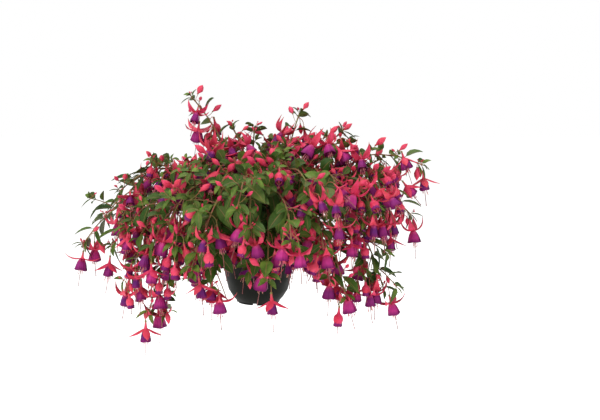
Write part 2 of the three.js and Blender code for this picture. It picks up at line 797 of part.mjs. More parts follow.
function compostSolid(paths) {
  const inset = POT.wall + GAP + 0.4;
  const side = WALL.slice(1, 4).map(([radius, height]) => [radius - inset, height + 1]);
  const top = [1, 0.55, 0].map((share) => {
    const radius = COMPOST.radius * share;
    return [radius, compostTop(radius)];
  });
  const low = FLOOR + POT.wall + GAP;
  const bottom = [[0, low], [POT.foot - inset, low]];
  let compost = lathe([...bottom, ...side, ...top], COMPOST.sides);
  for (const [root] of paths) {
    const { x, y, z } = root;
    const hole = drill(x, y, z - GAP, HOLE.depth + 10, HOLE.radius, STEM.sides);
    compost = compost.subtract(hole);
  }
  return compost;
}

// ------------------------------------------------------------------ the part

const paths = growPaths();
const items = growItems(paths);

const part = new THREE.Group();
part.name = "fuchsia_hanging_basket";
part.add(toMesh("pot", potSolid(), COLOURS.pot, 0.5));
part.add(toMesh("compost", compostSolid(paths), COLOURS.compost, 0.95));
paths.forEach((path, index) => {
  const pieces = items[index].map((item) => BUILDERS[item.kind](item));
  const solid = fuse([stemSolid(path), ...pieces]);
  const name = `stem_${String(index + 1).padStart(2, "0")}`;
  part.add(toMesh(name, solid, COLOURS.stem, 0.7));
});

export default part;
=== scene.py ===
"""A fuchsia in a hanging pot, dressed for Blender in metres, +Z up, -Y the front.

The plant grows here by the same rule as its solids do: the same list of stems, the same seeded
draws and the same tests for free room, so each fine leaf, bud and bloom stands where its plain
one does. The growing rule works in millimetres, and every mesh is written in metres.
"""

import bpy
import numpy as np
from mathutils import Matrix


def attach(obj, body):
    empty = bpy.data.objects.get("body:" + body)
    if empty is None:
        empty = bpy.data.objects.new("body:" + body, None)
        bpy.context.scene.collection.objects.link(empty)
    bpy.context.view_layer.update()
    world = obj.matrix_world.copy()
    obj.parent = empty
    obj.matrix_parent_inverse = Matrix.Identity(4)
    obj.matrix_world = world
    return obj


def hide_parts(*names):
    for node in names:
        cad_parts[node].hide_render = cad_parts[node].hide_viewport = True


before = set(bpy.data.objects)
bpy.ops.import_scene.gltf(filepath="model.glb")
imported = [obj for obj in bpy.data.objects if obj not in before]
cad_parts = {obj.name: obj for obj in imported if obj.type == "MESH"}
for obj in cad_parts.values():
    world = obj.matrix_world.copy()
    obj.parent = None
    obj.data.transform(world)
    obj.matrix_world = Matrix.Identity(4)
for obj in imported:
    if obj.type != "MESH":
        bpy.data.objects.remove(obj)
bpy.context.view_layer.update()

# ---------------------------------------------------------------------------- studio
# A pale floor well below the hanging pot, a large soft key light from the upper left, a wide fill
# from the right, one overhead and a pale surround. The camera stands in front, a little above.

AIM_HEIGHT = 0.062
CAMERA_DISTANCE = 1.8
CAMERA_ELEVATION = np.radians(8)
LENS = 60
SIDE_SHIFT = 0.0695
SURROUND_STRENGTH = 0.46
FLOOR_LEVEL = -0.42
FLOOR_GLOW = 0.62
FLOOR_CORNERS = [(-6, -4), (6, -4), (6, 9), (-6, 9)]

camera_data = bpy.data.cameras.new("camera")
camera_data.sensor_width = 36
camera_data.lens = LENS
camera_data.shift_x = SIDE_SHIFT
camera = bpy.data.objects.new("camera", camera_data)
camera.location = (
    0,
    -CAMERA_DISTANCE * np.cos(CAMERA_ELEVATION),
    AIM_HEIGHT + CAMERA_DISTANCE * np.sin(CAMERA_ELEVATION),
)
camera.rotation_euler = (np.pi / 2 - CAMERA_ELEVATION, 0, 0)
bpy.context.scene.collection.objects.link(camera)
bpy.context.scene.camera = camera


def studio_light(name, place, turn, size, power, colour):
    """A square area light at a place, turned by Euler angles in degrees."""
    data = bpy.data.lights.new(name, "AREA")
    data.shape = "SQUARE"
    data.size = size
    data.energy = power
    data.color = colour
    light = bpy.data.objects.new(name, data)
    light.location = place
    light.rotation_euler = np.radians(turn)
    bpy.context.scene.collection.objects.link(light)


studio_light("key_light", (-1.4, -1.8, 1.9), (48, 0, -38), 1.6, 60, (1.0, 0.985, 0.96))
studio_light("fill_light", (1.9, -1.5, 0.9), (66, 0, 52), 1.8, 16, (0.97, 0.985, 1.0))
studio_light("top_light", (0.1, 0.6, 2.1), (-16, 0, 0), 1.6, 24, (1.0, 1.0, 1.0))

world = bpy.data.worlds.new("surround")
world.use_nodes = True
surround = world.node_tree.nodes["Background"]
surround.inputs["Color"].default_value = (1.0, 1.0, 1.0, 1)
seen = world.node_tree.nodes.new("ShaderNodeLightPath").outputs["Is Camera Ray"]
strength = world.node_tree.nodes.new("ShaderNodeMapRange")
strength.inputs["To Min"].default_value = SURROUND_STRENGTH
strength.inputs["To Max"].default_value = 1.0
world.node_tree.links.new(seen, strength.inputs["Value"])
world.node_tree.links.new(strength.outputs["Result"], surround.inputs["Strength"])
bpy.context.scene.world = world
bpy.context.scene.view_settings.view_transform = "Standard"


def new_material(name, colour, roughness, specular=0.3):
    """A Principled material of one colour, its node tree and its shader."""
    material = bpy.data.materials.new(name)
    material.use_nodes = True
    shader = material.node_tree.nodes["Principled BSDF"]
    shader.inputs["Base Color"].default_value = (*colour, 1)
    shader.inputs["Roughness"].default_value = roughness
    shader.inputs["Specular IOR Level"].default_value = specular
    return material, material.node_tree, shader


CREASE = np.radians(75)  # sharpest turn that still looks smooth


def new_object(name, points, faces, material, **marks):
    """A smooth mesh of quads, creased at sharp turns, with a value of each mark at each point."""
    mesh = bpy.data.meshes.new(name)
    mesh.vertices.add(len(points))
    mesh.vertices.foreach_set("co", np.asarray(points, np.float32).ravel())
    mesh.loops.add(faces.size)
    mesh.loops.foreach_set("vertex_index", faces.astype(np.int32).ravel())
    mesh.polygons.add(len(faces))
    mesh.polygons.foreach_set("loop_start", np.arange(0, faces.size, 4, dtype=np.int32))
    mesh.polygons.foreach_set("use_smooth", np.ones(len(faces), bool))
    for mark, values in marks.items():
        attribute = mesh.attributes.new(mark, "FLOAT", "POINT")
        attribute.data.foreach_set("value", np.asarray(values, np.float32).ravel())
    mesh.update(calc_edges=True)
    mesh.set_sharp_from_angle(angle=CREASE)
    mesh.materials.append(material)
    thing = bpy.data.objects.new(name, mesh)
    bpy.context.scene.collection.objects.link(thing)
    return thing


floor_material, _, floor_shader = new_material("pale_floor", (0.9, 0.9, 0.9), 0.8)
floor_shader.inputs["Emission Color"].default_value = (1.0, 1.0, 1.0, 1)
floor_shader.inputs["Emission Strength"].default_value = FLOOR_GLOW
floor_points = np.column_stack([FLOOR_CORNERS, np.full(4, FLOOR_LEVEL)])
floor = new_object("floor", floor_points, np.array([[0, 1, 2, 3]]), floor_material)

# ---------------------------------------------------------------------------- pot
# A round bowl of dark plastic, moulded in one piece: a rolled rim, a ring of feet with gaps
# between them, holes in its floor to drain it, and three eyes on the rim for a hanger's hooks.

MM = 0.001
POT_SIDES = 120
RIM_RADIUS = 73
RIM_DEPTH = 5
RIM_ROLL = (2, 2.5)  # half its width and half its height
WALL = 1.8
POT_HEIGHT = 105
FOOT_RADIUS = 40
FOOT_HEIGHT = 3.5
FLOOR_HEIGHT = FOOT_HEIGHT - POT_HEIGHT
CORE = 0.05  # radius at which a surface closes over its axis

# the outside of the wall, as radius and height, from the foot up to the rim
WALL_LINE = [
    (FOOT_RADIUS, FLOOR_HEIGHT),
    (46, FLOOR_HEIGHT + 7),
    (54, FLOOR_HEIGHT + 20),
    (60, -57),
    (68.7, -RIM_DEPTH),
]


def ring_faces(count, stations, sides):
    """Quads of many closed bodies: walls from ring to ring, and strips of quads over the ends."""
    low = np.arange(stations - 1)[:, None] * sides
    here = np.arange(sides)
    there = (here + 1) % sides
    walls = np.stack([low + here, low + there, low + sides + there, low + sides + here], -1)
    pair = np.arange(sides // 2 - 1)
    over = np.stack([pair, pair + 1, sides - 2 - pair, sides - 1 - pair], -1)
    body = np.concatenate([walls.reshape(-1, 4), over[:, ::-1], over + (stations - 1) * sides])
    first = np.arange(count) * stations * sides
    return (body + first[:, None, None]).reshape(-1, 4)


def from_rings(name, rings, material, **marks):
    """An object of closed bodies from rings in millimetres: body by station by side by x, y, z.
    A mark has a value for each point, or for each side, station or body."""
    rings = np.asarray(rings, float)
    shape = rings.shape[:3]
    spread = {mark: np.broadcast_to(values, shape) for mark, values in marks.items()}
    return new_object(name, rings.reshape(-1, 3) * MM, ring_faces(*shape), material, **spread)


def lathe_rings(profile, sides):
    """A profile of radius and height carried round the Z axis, as one body."""
    radius, height = np.array(profile, float).T
    turn = 2 * np.pi * np.arange(sides) / sides
    x = radius[:, None] * np.cos(turn)
    y = radius[:, None] * np.sin(turn)
    return np.stack([x, y, np.broadcast_to(height[:, None], x.shape)], -1)[None]


def add_node(tree, kind, values=(), **settings):
    """A shader node with its settings, and a value or a link for each named or numbered input."""
    node = tree.nodes.new("ShaderNode" + kind)
    for name, value in settings.items():
        setattr(node, name, value)
    for socket, value in dict(values).items():
        if isinstance(value, bpy.types.NodeSocket):
            tree.links.new(value, node.inputs[socket])
        else:
            node.inputs[socket].default_value = value
    return node


def mark(tree, name):
    """The value of one of a mesh's own marks."""
    return add_node(tree, "Attribute", attribute_name=name).outputs["Fac"]


def mix(tree, share, first, second):
    """Two colours mixed by a share, each a colour or a link."""
    colours = [c if isinstance(c, bpy.types.NodeSocket) else (*c, 1) for c in (first, second)]
    values = {0: share, 6: colours[0], 7: colours[1]}
    return add_node(tree, "Mix", values, data_type="RGBA").outputs[2]


def maths(tree, operation, *values):
    """The result of a maths node."""
    return add_node(tree, "Math", enumerate(values), operation=operation).outputs[0]


def between(tree, value, low, high):
    """A value's smooth share of the way from low to high."""
    values = {"Value": value, "From Min": low, "From Max": high}
    return add_node(tree, "MapRange", values, interpolation_type="SMOOTHSTEP").outputs[0]


def make_mottle():
    """A node group: soft noise in the object's own space, as a mixed colour and as a value."""
    tree = bpy.data.node_groups.new("mottle", "ShaderNodeTree")
    sockets = [
        ("First", "Color", "INPUT"),
        ("Second", "Color", "INPUT"),
        ("Scale", "Float", "INPUT"),
        ("Contrast", "Float", "INPUT"),
        ("Colour", "Color", "OUTPUT"),
        ("Value", "Float", "OUTPUT"),
    ]
    for name, kind, way in sockets:
        tree.interface.new_socket(name, in_out=way, socket_type="NodeSocket" + kind)
    entry = tree.nodes.new("NodeGroupInput").outputs
    place = add_node(tree, "TexCoord").outputs["Object"]
    noise = add_node(tree, "TexNoise", {"Vector": place, "Scale": entry["Scale"], "Detail": 3})
    centred = maths(tree, "SUBTRACT", noise.outputs["Fac"], 0.5)
    scaled = maths(tree, "MULTIPLY_ADD", centred, entry["Contrast"], 0.5)
    share = add_node(tree, "Clamp", {"Value": scaled}).outputs[0]
    leave = tree.nodes.new("NodeGroupOutput").inputs
    tree.links.new(mix(tree, share, entry["First"], entry["Second"]), leave["Colour"])
    tree.links.new(share, leave["Value"])
    return tree


MOTTLE = make_mottle()


def mottle(tree, first, second, scale, contrast=2.5):
    """Two colours mottled together: the outputs of a mottle group placed in a material."""
    group = tree.nodes.new("ShaderNodeGroup")
    group.node_tree = MOTTLE
    for name, value in {"First": first, "Second": second}.items():
        if isinstance(value, bpy.types.NodeSocket):
            tree.links.new(value, group.inputs[name])
        else:
            group.inputs[name].default_value = (*value, 1)
    group.inputs["Scale"].default_value = scale
    group.inputs["Contrast"].default_value = contrast
    return group.outputs["Colour"], group.outputs["Value"]


def bump(tree, shader, height, strength, distance):
    """Relief on a shader from a height."""
    values = {"Height": height, "Strength": strength, "Distance": distance}
    tree.links.new(add_node(tree, "Bump", values).outputs[0], shader.inputs["Normal"])


CLEAN_PLASTIC = (0.0014, 0.002, 0.001)
DUSTY_PLASTIC = (0.0046, 0.0058, 0.0032)
GRAIN_SCALE = 1600

pot_material, tree, shader = new_material("dark_moulded_plastic", (0.006, 0.006, 0.004), 0.5, 0.1)
colour, dust = mottle(tree, CLEAN_PLASTIC, DUSTY_PLASTIC, 38)
tree.links.new(colour, shader.inputs["Base Color"])
_, grain = mottle(tree, (0, 0, 0), (1, 1, 1), GRAIN_SCALE, 1.5)
tree.links.new(maths(tree, "MULTIPLY_ADD", dust, 0.2, 0.42), shader.inputs["Roughness"])
bump(tree, shader, grain, 0.25, 0.0002)

# from the axis out under the floor, up the wall, over the rolled rim and back down inside
inner_line = [(radius - WALL, height) for radius, height in WALL_LINE]
inner_line[0] = (FOOT_RADIUS - WALL, FLOOR_HEIGHT + WALL)
inner_line[4] = (WALL_LINE[4][0] - WALL, -1)
rim_wide, rim_high = RIM_ROLL
rim = [
    (RIM_RADIUS - rim_wide + rim_wide * np.cos(turn), rim_high * np.sin(turn) - rim_high)
    for turn in np.linspace(-np.pi / 2, np.pi / 2, 9)
]
outline = [(CORE, FLOOR_HEIGHT), *WALL_LINE[:4], (68.4, -6), (69, -RIM_DEPTH), *rim]
outline += [(67.6, 0), *inner_line[::-1], (CORE, FLOOR_HEIGHT + WALL)]
pot = from_rings("moulded_pot", lathe_rings(outline, POT_SIDES), pot_material)

FEET = 6
FOOT_NOTCH = 3.5
FOOT_MIDDLE = 37
FOOT_STATIONS = 15
FIRST_NOTCH = np.radians(-100)

# a foot's section, as radius and height over the ground
FOOT_LINE = [(34.9, 0.6), (35.4, 0), (38.6, 0), (39.1, 0.6), (39.5, 3.9), (34.5, 3.9)]

EARS = 3
EAR_WIDTH = 13
EAR_THICKNESS = 3
EAR_RISE = 10
EAR_ARCH = 5
EAR_ROOT = -2
EAR_MIDDLE = 2
EAR_RADIUS = 69.2
EAR_BORE = 2.4
BORE_RISE = 0.55  # as a share of the ear's
BORE_SPAN = (60, 80)
FIRST_EAR = np.pi / 2

# an ear's edges are rounded: the depth and size of its outline at four steps through it
EAR_STEPS = np.array([(-1, 0.95), (-0.8, 1), (0.8, 1), (1, 0.95)])

DRAINS = 5
DRAIN_CIRCLE = 21
DRAIN_RADIUS = 4
DRAIN_SPAN = (FLOOR_HEIGHT - 4, FLOOR_HEIGHT + 8)
ROD_SIDES = 24
MOULDED_CREASE = np.radians(40)


def turned(rings, count, first):
    """Copies of a body, turned in equal steps about the Z axis from a first angle."""
    turn = first + 2 * np.pi * np.arange(count).reshape(-1, 1, 1) / count
    x, y, z = np.moveaxis(rings, -1, 0)
    new_x = x * np.cos(turn) - y * np.sin(turn)
    new_y = x * np.sin(turn) + y * np.cos(turn)
    return np.stack([new_x, new_y, np.broadcast_to(z, new_x.shape)], -1)


def rod_rings(start, end, first, radius):
    """A straight round rod between two points, as one body."""
    turn = 2 * np.pi * np.arange(ROD_SIDES)[:, None] / ROD_SIDES
    start, end, first = (np.array(value, float) for value in (start, end, first))
    second = np.cross((end - start) / np.linalg.norm(end - start), first)
    spokes = radius * (first * np.cos(turn) + second * np.sin(turn))
    return np.stack([start + spokes, end + spokes])


def merge_into(thing, operation, parts):
    """Joins parts to an object, or cuts them from it, by one applied Boolean for each."""
    for part in parts:
        step = thing.modifiers.new(operation.lower(), "BOOLEAN")
        step.operation = operation
        step.solver = "EXACT"
        step.use_self = True
        step.object = part
        plain = thing.evaluated_get(bpy.context.evaluated_depsgraph_get())
        mesh = bpy.data.meshes.new_from_object(plain)
        thing.modifiers.clear()
        thing.data = mesh
        bpy.data.objects.remove(part)
    thing.data.set_sharp_from_angle(angle=MOULDED_CREASE)


foot_half = np.pi / FEET - np.arcsin(FOOT_NOTCH / FOOT_MIDDLE)
foot_turn = np.linspace(-foot_half, foot_half, FOOT_STATIONS)[:, None] + np.pi / FEET
foot_radius, foot_height = np.array(FOOT_LINE).T
foot = np.stack([
    foot_radius * np.cos(foot_turn),
    foot_radius * np.sin(foot_turn),
    np.broadcast_to(foot_height - POT_HEIGHT, (FOOT_STATIONS, len(FOOT_LINE))),
], -1)
feet = from_rings("feet", turned(foot, FEET, FIRST_NOTCH), pot_material)

arch = np.linspace(0, np.pi, 15)
ear_across = np.concatenate([[1], np.cos(arch), [-1]]) * EAR_WIDTH / 2
ear_up = np.concatenate([[EAR_ROOT], EAR_RISE - EAR_ARCH + EAR_ARCH * np.sin(arch), [EAR_ROOT]])
ear_depth, ear_size = EAR_STEPS.T[:, :, None]
ear = np.stack([
    EAR_RADIUS + np.broadcast_to(ear_depth * EAR_THICKNESS / 2, (len(EAR_STEPS), len(ear_up))),
    ear_across * ear_size,
    EAR_MIDDLE + (ear_up - EAR_MIDDLE) * ear_size,
], -1)
ears = from_rings("ears", turned(ear, EARS, FIRST_EAR), pot_material)
bore_ends = [(radius, 0, EAR_RISE * BORE_RISE) for radius in BORE_SPAN]
bore = rod_rings(*bore_ends, (0, 1, 0), EAR_BORE)
bores = from_rings("bores", turned(bore, EARS, FIRST_EAR), pot_material)
drain_ends = [(DRAIN_CIRCLE, 0, height) for height in DRAIN_SPAN]
drain = rod_rings(*drain_ends, (1, 0, 0), DRAIN_RADIUS)
drains = from_rings("drains", turned(drain, DRAINS, 0), pot_material)
merge_into(pot, "UNION", [feet, ears])
merge_into(pot, "DIFFERENCE", [bores, drains])


def stand_for(piece, slot, *nodes):
    """Lets a piece ride on the one body, in place of plain nodes. The slot is not used."""
    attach(piece, "root")
    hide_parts(*nodes)


stand_for(pot, "pot", "pot")

# ---------------------------------------------------------------------------- compost
# Damp brown peat compost that fills the pot to just under its rim, domed up to the middle,
# lumpy on top, with a scatter of pale perlite grains. The stems stand in it.

SOIL_RIM = -14
SOIL_RADIUS = 64
SOIL_DOME = 5
SOIL_GAP = 0.3
SOIL_INSET = WALL + 0.7
SOIL_ROUGHNESS = 1.2
SOIL_ROWS = 24
SOIL_SIDES = 72
CRUMB_SCALE = 420
PERLITE_SCALE = 330
PERLITE_REACH = 0.16
DARK_PEAT = (0.018, 0.011, 0.007)
BROWN_PEAT = (0.085, 0.052, 0.032)
PERLITE_WHITE = (0.55, 0.52, 0.46)


def compost_top(radius):
    """Height of the compost's dome at a radius: highest in the middle, by the square of it."""
    return SOIL_RIM + SOIL_DOME * (1 - (radius / SOIL_RADIUS) ** 2)


compost_material, tree, shader = new_material("peat_compost", (0.05, 0.03, 0.02), 0.95)
crumbs, crumb = mottle(tree, DARK_PEAT, BROWN_PEAT, CRUMB_SCALE, 3)
cells = add_node(tree, "TexVoronoi", {"Scale": PERLITE_SCALE})
tree.links.new(add_node(tree, "TexCoord").outputs["Object"], cells.inputs["Vector"])
perlite = maths(tree, "LESS_THAN", cells.outputs["Distance"], PERLITE_REACH)
tree.links.new(mix(tree, perlite, crumbs, PERLITE_WHITE), shader.inputs["Base Color"])
bump(tree, shader, crumb, 0.7, 0.002)

soil_floor = FLOOR_HEIGHT + WALL + SOIL_GAP
soil_line = [(CORE, soil_floor), (FOOT_RADIUS - SOIL_INSET, soil_floor)]
soil_line += [(radius - SOIL_INSET, height + 1) for radius, height in WALL_LINE[1:4]]
soil_line += [(radius, compost_top(radius)) for radius in np.linspace(SOIL_RADIUS, CORE, SOIL_ROWS)]
soil_rings = lathe_rings(soil_line, SOIL_SIDES)
lumps = np.random.default_rng(11).normal(0, SOIL_ROUGHNESS, soil_rings.shape[:3])
lumps = (lumps + np.roll(lumps, 1, 2) + np.roll(lumps, -1, 2)) / 2
lumps[:, : 1 - SOIL_ROWS] = 0
lumps[:, -1] = 0
soil_rings[..., 2] += lumps
compost = from_rings("peat_compost", soil_rings, compost_material)
stand_for(compost, "compost", "compost")

# ---------------------------------------------------------------------------- stems
# Arching stems, woody and red-brown low down and greener to the tip, swollen a little where
# leaves grow. Each stands in the compost, leans its own way, and sways clear of its neighbours.

# Where each tip ends, how high the stem arches on its way there (0 for a shoot that climbs), and
# how many open blooms, large buds and large leaves it carries.
STEMS = [
    # climbing shoots
    ((-119, -20, 268), 0, 2, 3, 4),
    ((75, 20, 238), 0, 2, 2, 4),
    ((150, -20, 208), 0, 2, 1, 4),
    ((218, -30, 158), 0, 2, 2, 3),
    ((-6, 20, 212), 0, 1, 2, 3),
    ((-48, -10, 216), 0, 1, 1, 3),
    ((-186, -40, 156), 0, 1, 2, 3),
    # trailing to the left
    ((-247, -25, 98), 138, 2, 2, 3),
    ((-312, -32, 4), 100, 2, 1, 3),
    ((-254, -75, 8), 96, 2, 1, 3),
    ((-187, -112, -100), 96, 3, 2, 4),
    ((-202, -125, 28), 112, 3, 1, 2),
    ((-147, -172, 62), 125, 2, 1, 2),
    ((-109, -196, -14), 92, 3, 1, 2),
    ((-88, -204, 50), 118, 1, 0, 3),
    # trailing over the front
    ((-34, -222, 92), 140, 0, 1, 4),
    ((-78, -186, -40), 82, 2, 0, 3),
    ((-13, -218, 62), 124, 2, 0, 3),
    ((14, -204, -26), 92, 3, 0, 2),
    ((52, -230, 44), 116, 2, 2, 3),
    # trailing to the right
    ((84, -192, 108), 146, 1, 1, 3),
    ((107, -184, 20), 106, 2, 1, 2),
    ((146, -152, -62), 92, 3, 1, 2),
    ((154, -146, 100), 138, 2, 1, 3),
    ((216, -94, -62), 96, 2, 1, 3),
    ((236, -62, 52), 124, 2, 1, 3),
    ((290, -34, 146), 156, 2, 3, 3),
    # leafy crown
    ((-62, -142, 128), 146, 1, 1, 4),
    ((38, -134, 142), 150, 1, 0, 4),
    # the back
    ((286, 68, 42), 112, 2, 1, 3),
    ((204, 176, 26), 112, 2, 1, 3),
    ((94, 238, 40), 118, 1, 1, 3),
    ((-16, 252, 10), 106, 2, 1, 3),
    ((-114, 226, 44), 120, 1, 1, 3),
    ((-206, 172, 24), 110, 1, 1, 3),
    ((-288, 74, 40), 112, 2, 1, 3),
    ((120, 150, -58), 90, 1, 1, 2),
    ((-126, 146, -60), 90, 2, 1, 2),
    ((60, 140, 150), 156, 1, 1, 3),
    ((-80, 130, 152), 156, 1, 1, 3),
    ((160, 84, 128), 144, 1, 1, 3),
]

UP = np.array((0.0, 0.0, 1.0))
HOLE_REACH = 57  # radius that the holes spread over
HOLE_LEAN = 0.24  # share of a tip's reach at which its stem stands
HOLE_DEPTH = 14
HOLE_CLEARANCE = 0.3
PLAN_SHARES = (0.13, 0.7)  # shares of the way out at which the arc's two controls stand
CLIMB_SHARES = (0.45, 0.85)  # of a climbing tip's height, for the same two controls
CREST_GAIN = 1.33  # how much higher than a crest the controls stand
ARCH_CHORDS = 8
SWAY = 16  # at most, sideways, at the first try
SWAY_TRIES = 120
SWAY_GROWTH = 30  # tries after which it is twice as wide
STEM_CLEARANCE = 1.5
STEM_BALL = 1.7
BALL_STEP = 4
NEARBY = 30  # reach within which balls are compared
STEM_BASE = 2.0
STEM_TIP = 1.1
STEM_SIDES = 6
STATIONS = 60
INTERNODE = 25
FIRST_NODE = 12
NODE_SWELLING = 0.45
NODE_WIDTH = 2.6
DARK_BARK = (0.11, 0.035, 0.02)
BROWN_BARK = (0.27, 0.1, 0.06)
GREEN_BARK = (0.16, 0.2, 0.04)
RED_BARK = (0.32, 0.1, 0.07)
WORD = 2**32 - 1  # the draws are worked out in 32 bits


def draws(seed):
    """A seeded stream of numbers between 0 and 1: a counter mixed by multiplying and shifting."""
    state = seed
    while True:
        state = (state + 0x6D2B79F5) & WORD
        mixed = ((state ^ (state >> 15)) * (state | 1)) & WORD
        mixed ^= (mixed + (mixed ^ (mixed >> 7)) * (mixed | 61)) & WORD
        yield (mixed ^ (mixed >> 14)) / 2**32


def unit(vectors):
    """Vectors over their own lengths."""
    vectors = np.asarray(vectors, float)
    return vectors / np.linalg.norm(vectors, axis=-1, keepdims=True)


def squared_to(vectors, direction):
    """Unit vectors with what points along a unit direction taken away."""
    return unit(vectors - direction * np.sum(vectors * direction, -1, keepdims=True))


def choose_holes():
    """Holes spread over the compost like sunflower seeds, the nearest free one for each stem, from
    the stem that reaches furthest to the shortest."""
    index = np.arange(len(STEMS))
    radius = HOLE_REACH * np.sqrt((index + 0.5) / len(STEMS))
    turn = index * np.pi * (3 - np.sqrt(5))
    free = np.stack([radius * np.cos(turn), radius * np.sin(turn)], -1)
    tips = np.array([stem[0][:2] for stem in STEMS], float)
    reach = np.hypot(*tips.T)
    holes = np.empty_like(tips)
    for stem in np.argsort(-reach, kind="stable"):
        wanted = tips[stem] * min(HOLE_REACH, reach[stem] * HOLE_LEAN) / reach[stem]
        best = np.argmin(np.hypot(*(free - wanted).T))
        holes[stem] = free[best]
        free = np.delete(free, best, 0)
    return holes


def along_path(path):
    """The length of a path up to each of its points."""
    return np.append(0, np.cumsum(np.linalg.norm(np.diff(path, axis=0), axis=1)))


def cubic(controls, t):
    """Points of a cubic curve that has four controls."""
    start, first, second, end = controls
    early = start * (1 - t) ** 3 + first * 3 * t * (1 - t) ** 2
    return early + (second * 3 * t**2 * (1 - t) + end * t**3)


def stem_path(tip, crest, hole, sway):
    """A stem's centre line: up out of its hole, then a cubic arc to its tip in equal lengths."""
    ground = compost_top(np.hypot(*hole))
    tip = np.array(tip, float)
    base = np.array((*hole, ground + 1))
    out = tip - base
    across = unit((-out[1], out[0], 0))
    arch = crest * CREST_GAIN - tip[2] / 6
    heights = (arch, arch) if crest else [tip[2] * share for share in CLIMB_SHARES]
    controls = [base]
    for share, height, swing in zip(PLAN_SHARES, heights, sway):
        spot = base + out * share
        spot[2] = height
        controls.append(spot + across * swing)
    controls.append(tip)
    t = np.linspace(0, 1, 201)
    length = along_path(cubic(controls, t[:, None]))
    t = np.interp(np.linspace(0, length[-1], ARCH_CHORDS + 1), length, t)
    bottom = (*hole, ground - HOLE_DEPTH + HOLE_CLEARANCE)
    return np.vstack([bottom, cubic(controls, t[:, None])])


def path_balls(path):
    """Balls strung along a path, as rows of x, y, z and radius."""
    chords = np.linalg.norm(np.diff(path, axis=0), axis=1)
    counts = np.maximum(1, np.floor(chords / BALL_STEP)).astype(int)
    start = np.repeat(np.arange(len(chords)), counts)
    share = np.concatenate([np.arange(count) / count for count in counts])[:, None]
    spots = path[start] * (1 - share) + path[start + 1] * share
    spots = np.vstack([spots, path[-1]])
    return np.column_stack([spots, np.full(len(spots), STEM_BALL)])


def clearance(balls, placed):
    """Least free space between one thing's balls and those already placed near it."""
    if not len(balls):
        return np.inf
    low = np.min(balls[:, :3], axis=0) - NEARBY
    high = np.max(balls[:, :3], axis=0) + NEARBY
    near = placed[np.all((placed[:, :3] > low) & (placed[:, :3] < high), axis=1)]
    if not len(near):
        return np.inf
    apart = np.linalg.norm(balls[:, None, :3] - near[None, :, :3], axis=-1)
    return np.min(apart - balls[:, None, 3] - near[None, :, 3])


def grow_paths():
    """The centre lines of all stems, each swayed more and more until it clears those before it."""
    placed = np.empty((0, 4))
    paths = []
    for index, ((tip, crest, *_), hole) in enumerate(zip(STEMS, choose_holes())):
        draw = draws(1000 + index).__next__
        best = (-np.inf,)
        for attempt in range(SWAY_TRIES):
            swing = SWAY * (1 + attempt / SWAY_GROWTH)
            sway = [swing * (2 * draw() - 1), swing * (2 * draw() - 1)]
            path = stem_path(tip, crest, hole, sway)
            balls = path_balls(path)
            space = clearance(balls, placed)
            if space > best[0]:
                best = (space, path, balls)
            if space >= STEM_CLEARANCE:
                break
        placed = np.vstack([placed, best[2]])
        paths.append(best[1])
    return paths


def walk_back(path, distance):
    """The point and direction at a distance back from the tip, along a path's chords."""
    chords = np.linalg.norm(np.diff(path, axis=0), axis=1)[::-1]
    chord = min(np.searchsorted(np.cumsum(chords), distance), len(chords) - 1)
    left = distance - np.sum(chords[:chord])
    end = len(path) - 1 - chord
    direction = unit(path[end] - path[end - 1])
    return path[end] - direction * left, direction


def path_length(path):
    """Length of a path beyond its first chord, which on a stem is the part in its hole."""
    return np.sum(np.linalg.norm(np.diff(path[1:], axis=0), axis=1))


def tube_rings(path, side, radius, sides):
    """Rings round paths: at each station a circle across the path's own direction, which starts
    from a side direction. The radius is one number, or one for each station."""
    direction = unit(np.gradient(path, axis=-2))
    first = squared_to(np.broadcast_to(side[..., None, :], path.shape), direction)
    second = np.cross(direction, first)
    turn = (2 * np.pi * np.arange(sides) / sides)[:, None]
    spoke = first[..., None, :] * np.cos(turn) + second[..., None, :] * np.sin(turn)
    return path[..., None, :] + spoke * np.asarray(radius)[..., None, None]


stem_paths = grow_paths()
stem_nodes = sorted(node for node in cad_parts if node.startswith("stem_"))

stem_lines = []
stem_radii = []
for path in stem_paths:
    length = along_path(path)
    at = np.linspace(0, length[-1], STATIONS)
    line = np.stack([np.interp(at, length, axis) for axis in path.T], -1)
    for _ in range(3):
        line[1:-1] = (line[:-2] + 2 * line[1:-1] + line[2:]) / 4
    back = length[-1] - at
    from_node = (back - FIRST_NODE + INTERNODE / 2) % INTERNODE - INTERNODE / 2
    swelling = NODE_SWELLING * np.exp(-((from_node / NODE_WIDTH) ** 2))
    stem_lines.append(line)
    stem_radii.append(STEM_BASE + (STEM_TIP - STEM_BASE) * at / length[-1] + swelling)
stem_lines = np.array(stem_lines)
stem_sides = np.cross(UP, stem_lines[:, -1] - stem_lines[:, 0])
stem_rings = tube_rings(stem_lines, stem_sides, np.array(stem_radii), STEM_SIDES)

stem_material, tree, shader = new_material("fuchsia_bark", (0.2, 0.1, 0.05), 0.6)
bark, bark_relief = mottle(tree, DARK_BARK, BROWN_BARK, 240, 3)
green, _ = mottle(tree, GREEN_BARK, RED_BARK, 70, 3)
ripe = between(tree, mark(tree, "along"), 0.45, 0.95)
tree.links.new(mix(tree, ripe, bark, green), shader.inputs["Base Color"])
bump(tree, shader, bark_relief, 0.4, 0.001)
stem_share = np.linspace(0, 1, STATIONS)[:, None]
stems = from_rings("stems", stem_rings, stem_material, along=stem_share)
stand_for(stems, "leafy_stem", *stem_nodes)

# ---------------------------------------------------------------------------- where things grow
# A fuchsia carries its leaves, buds and blooms at nodes along each stem. They are given their
# places here, each where it finds room, before any of them is shaped.

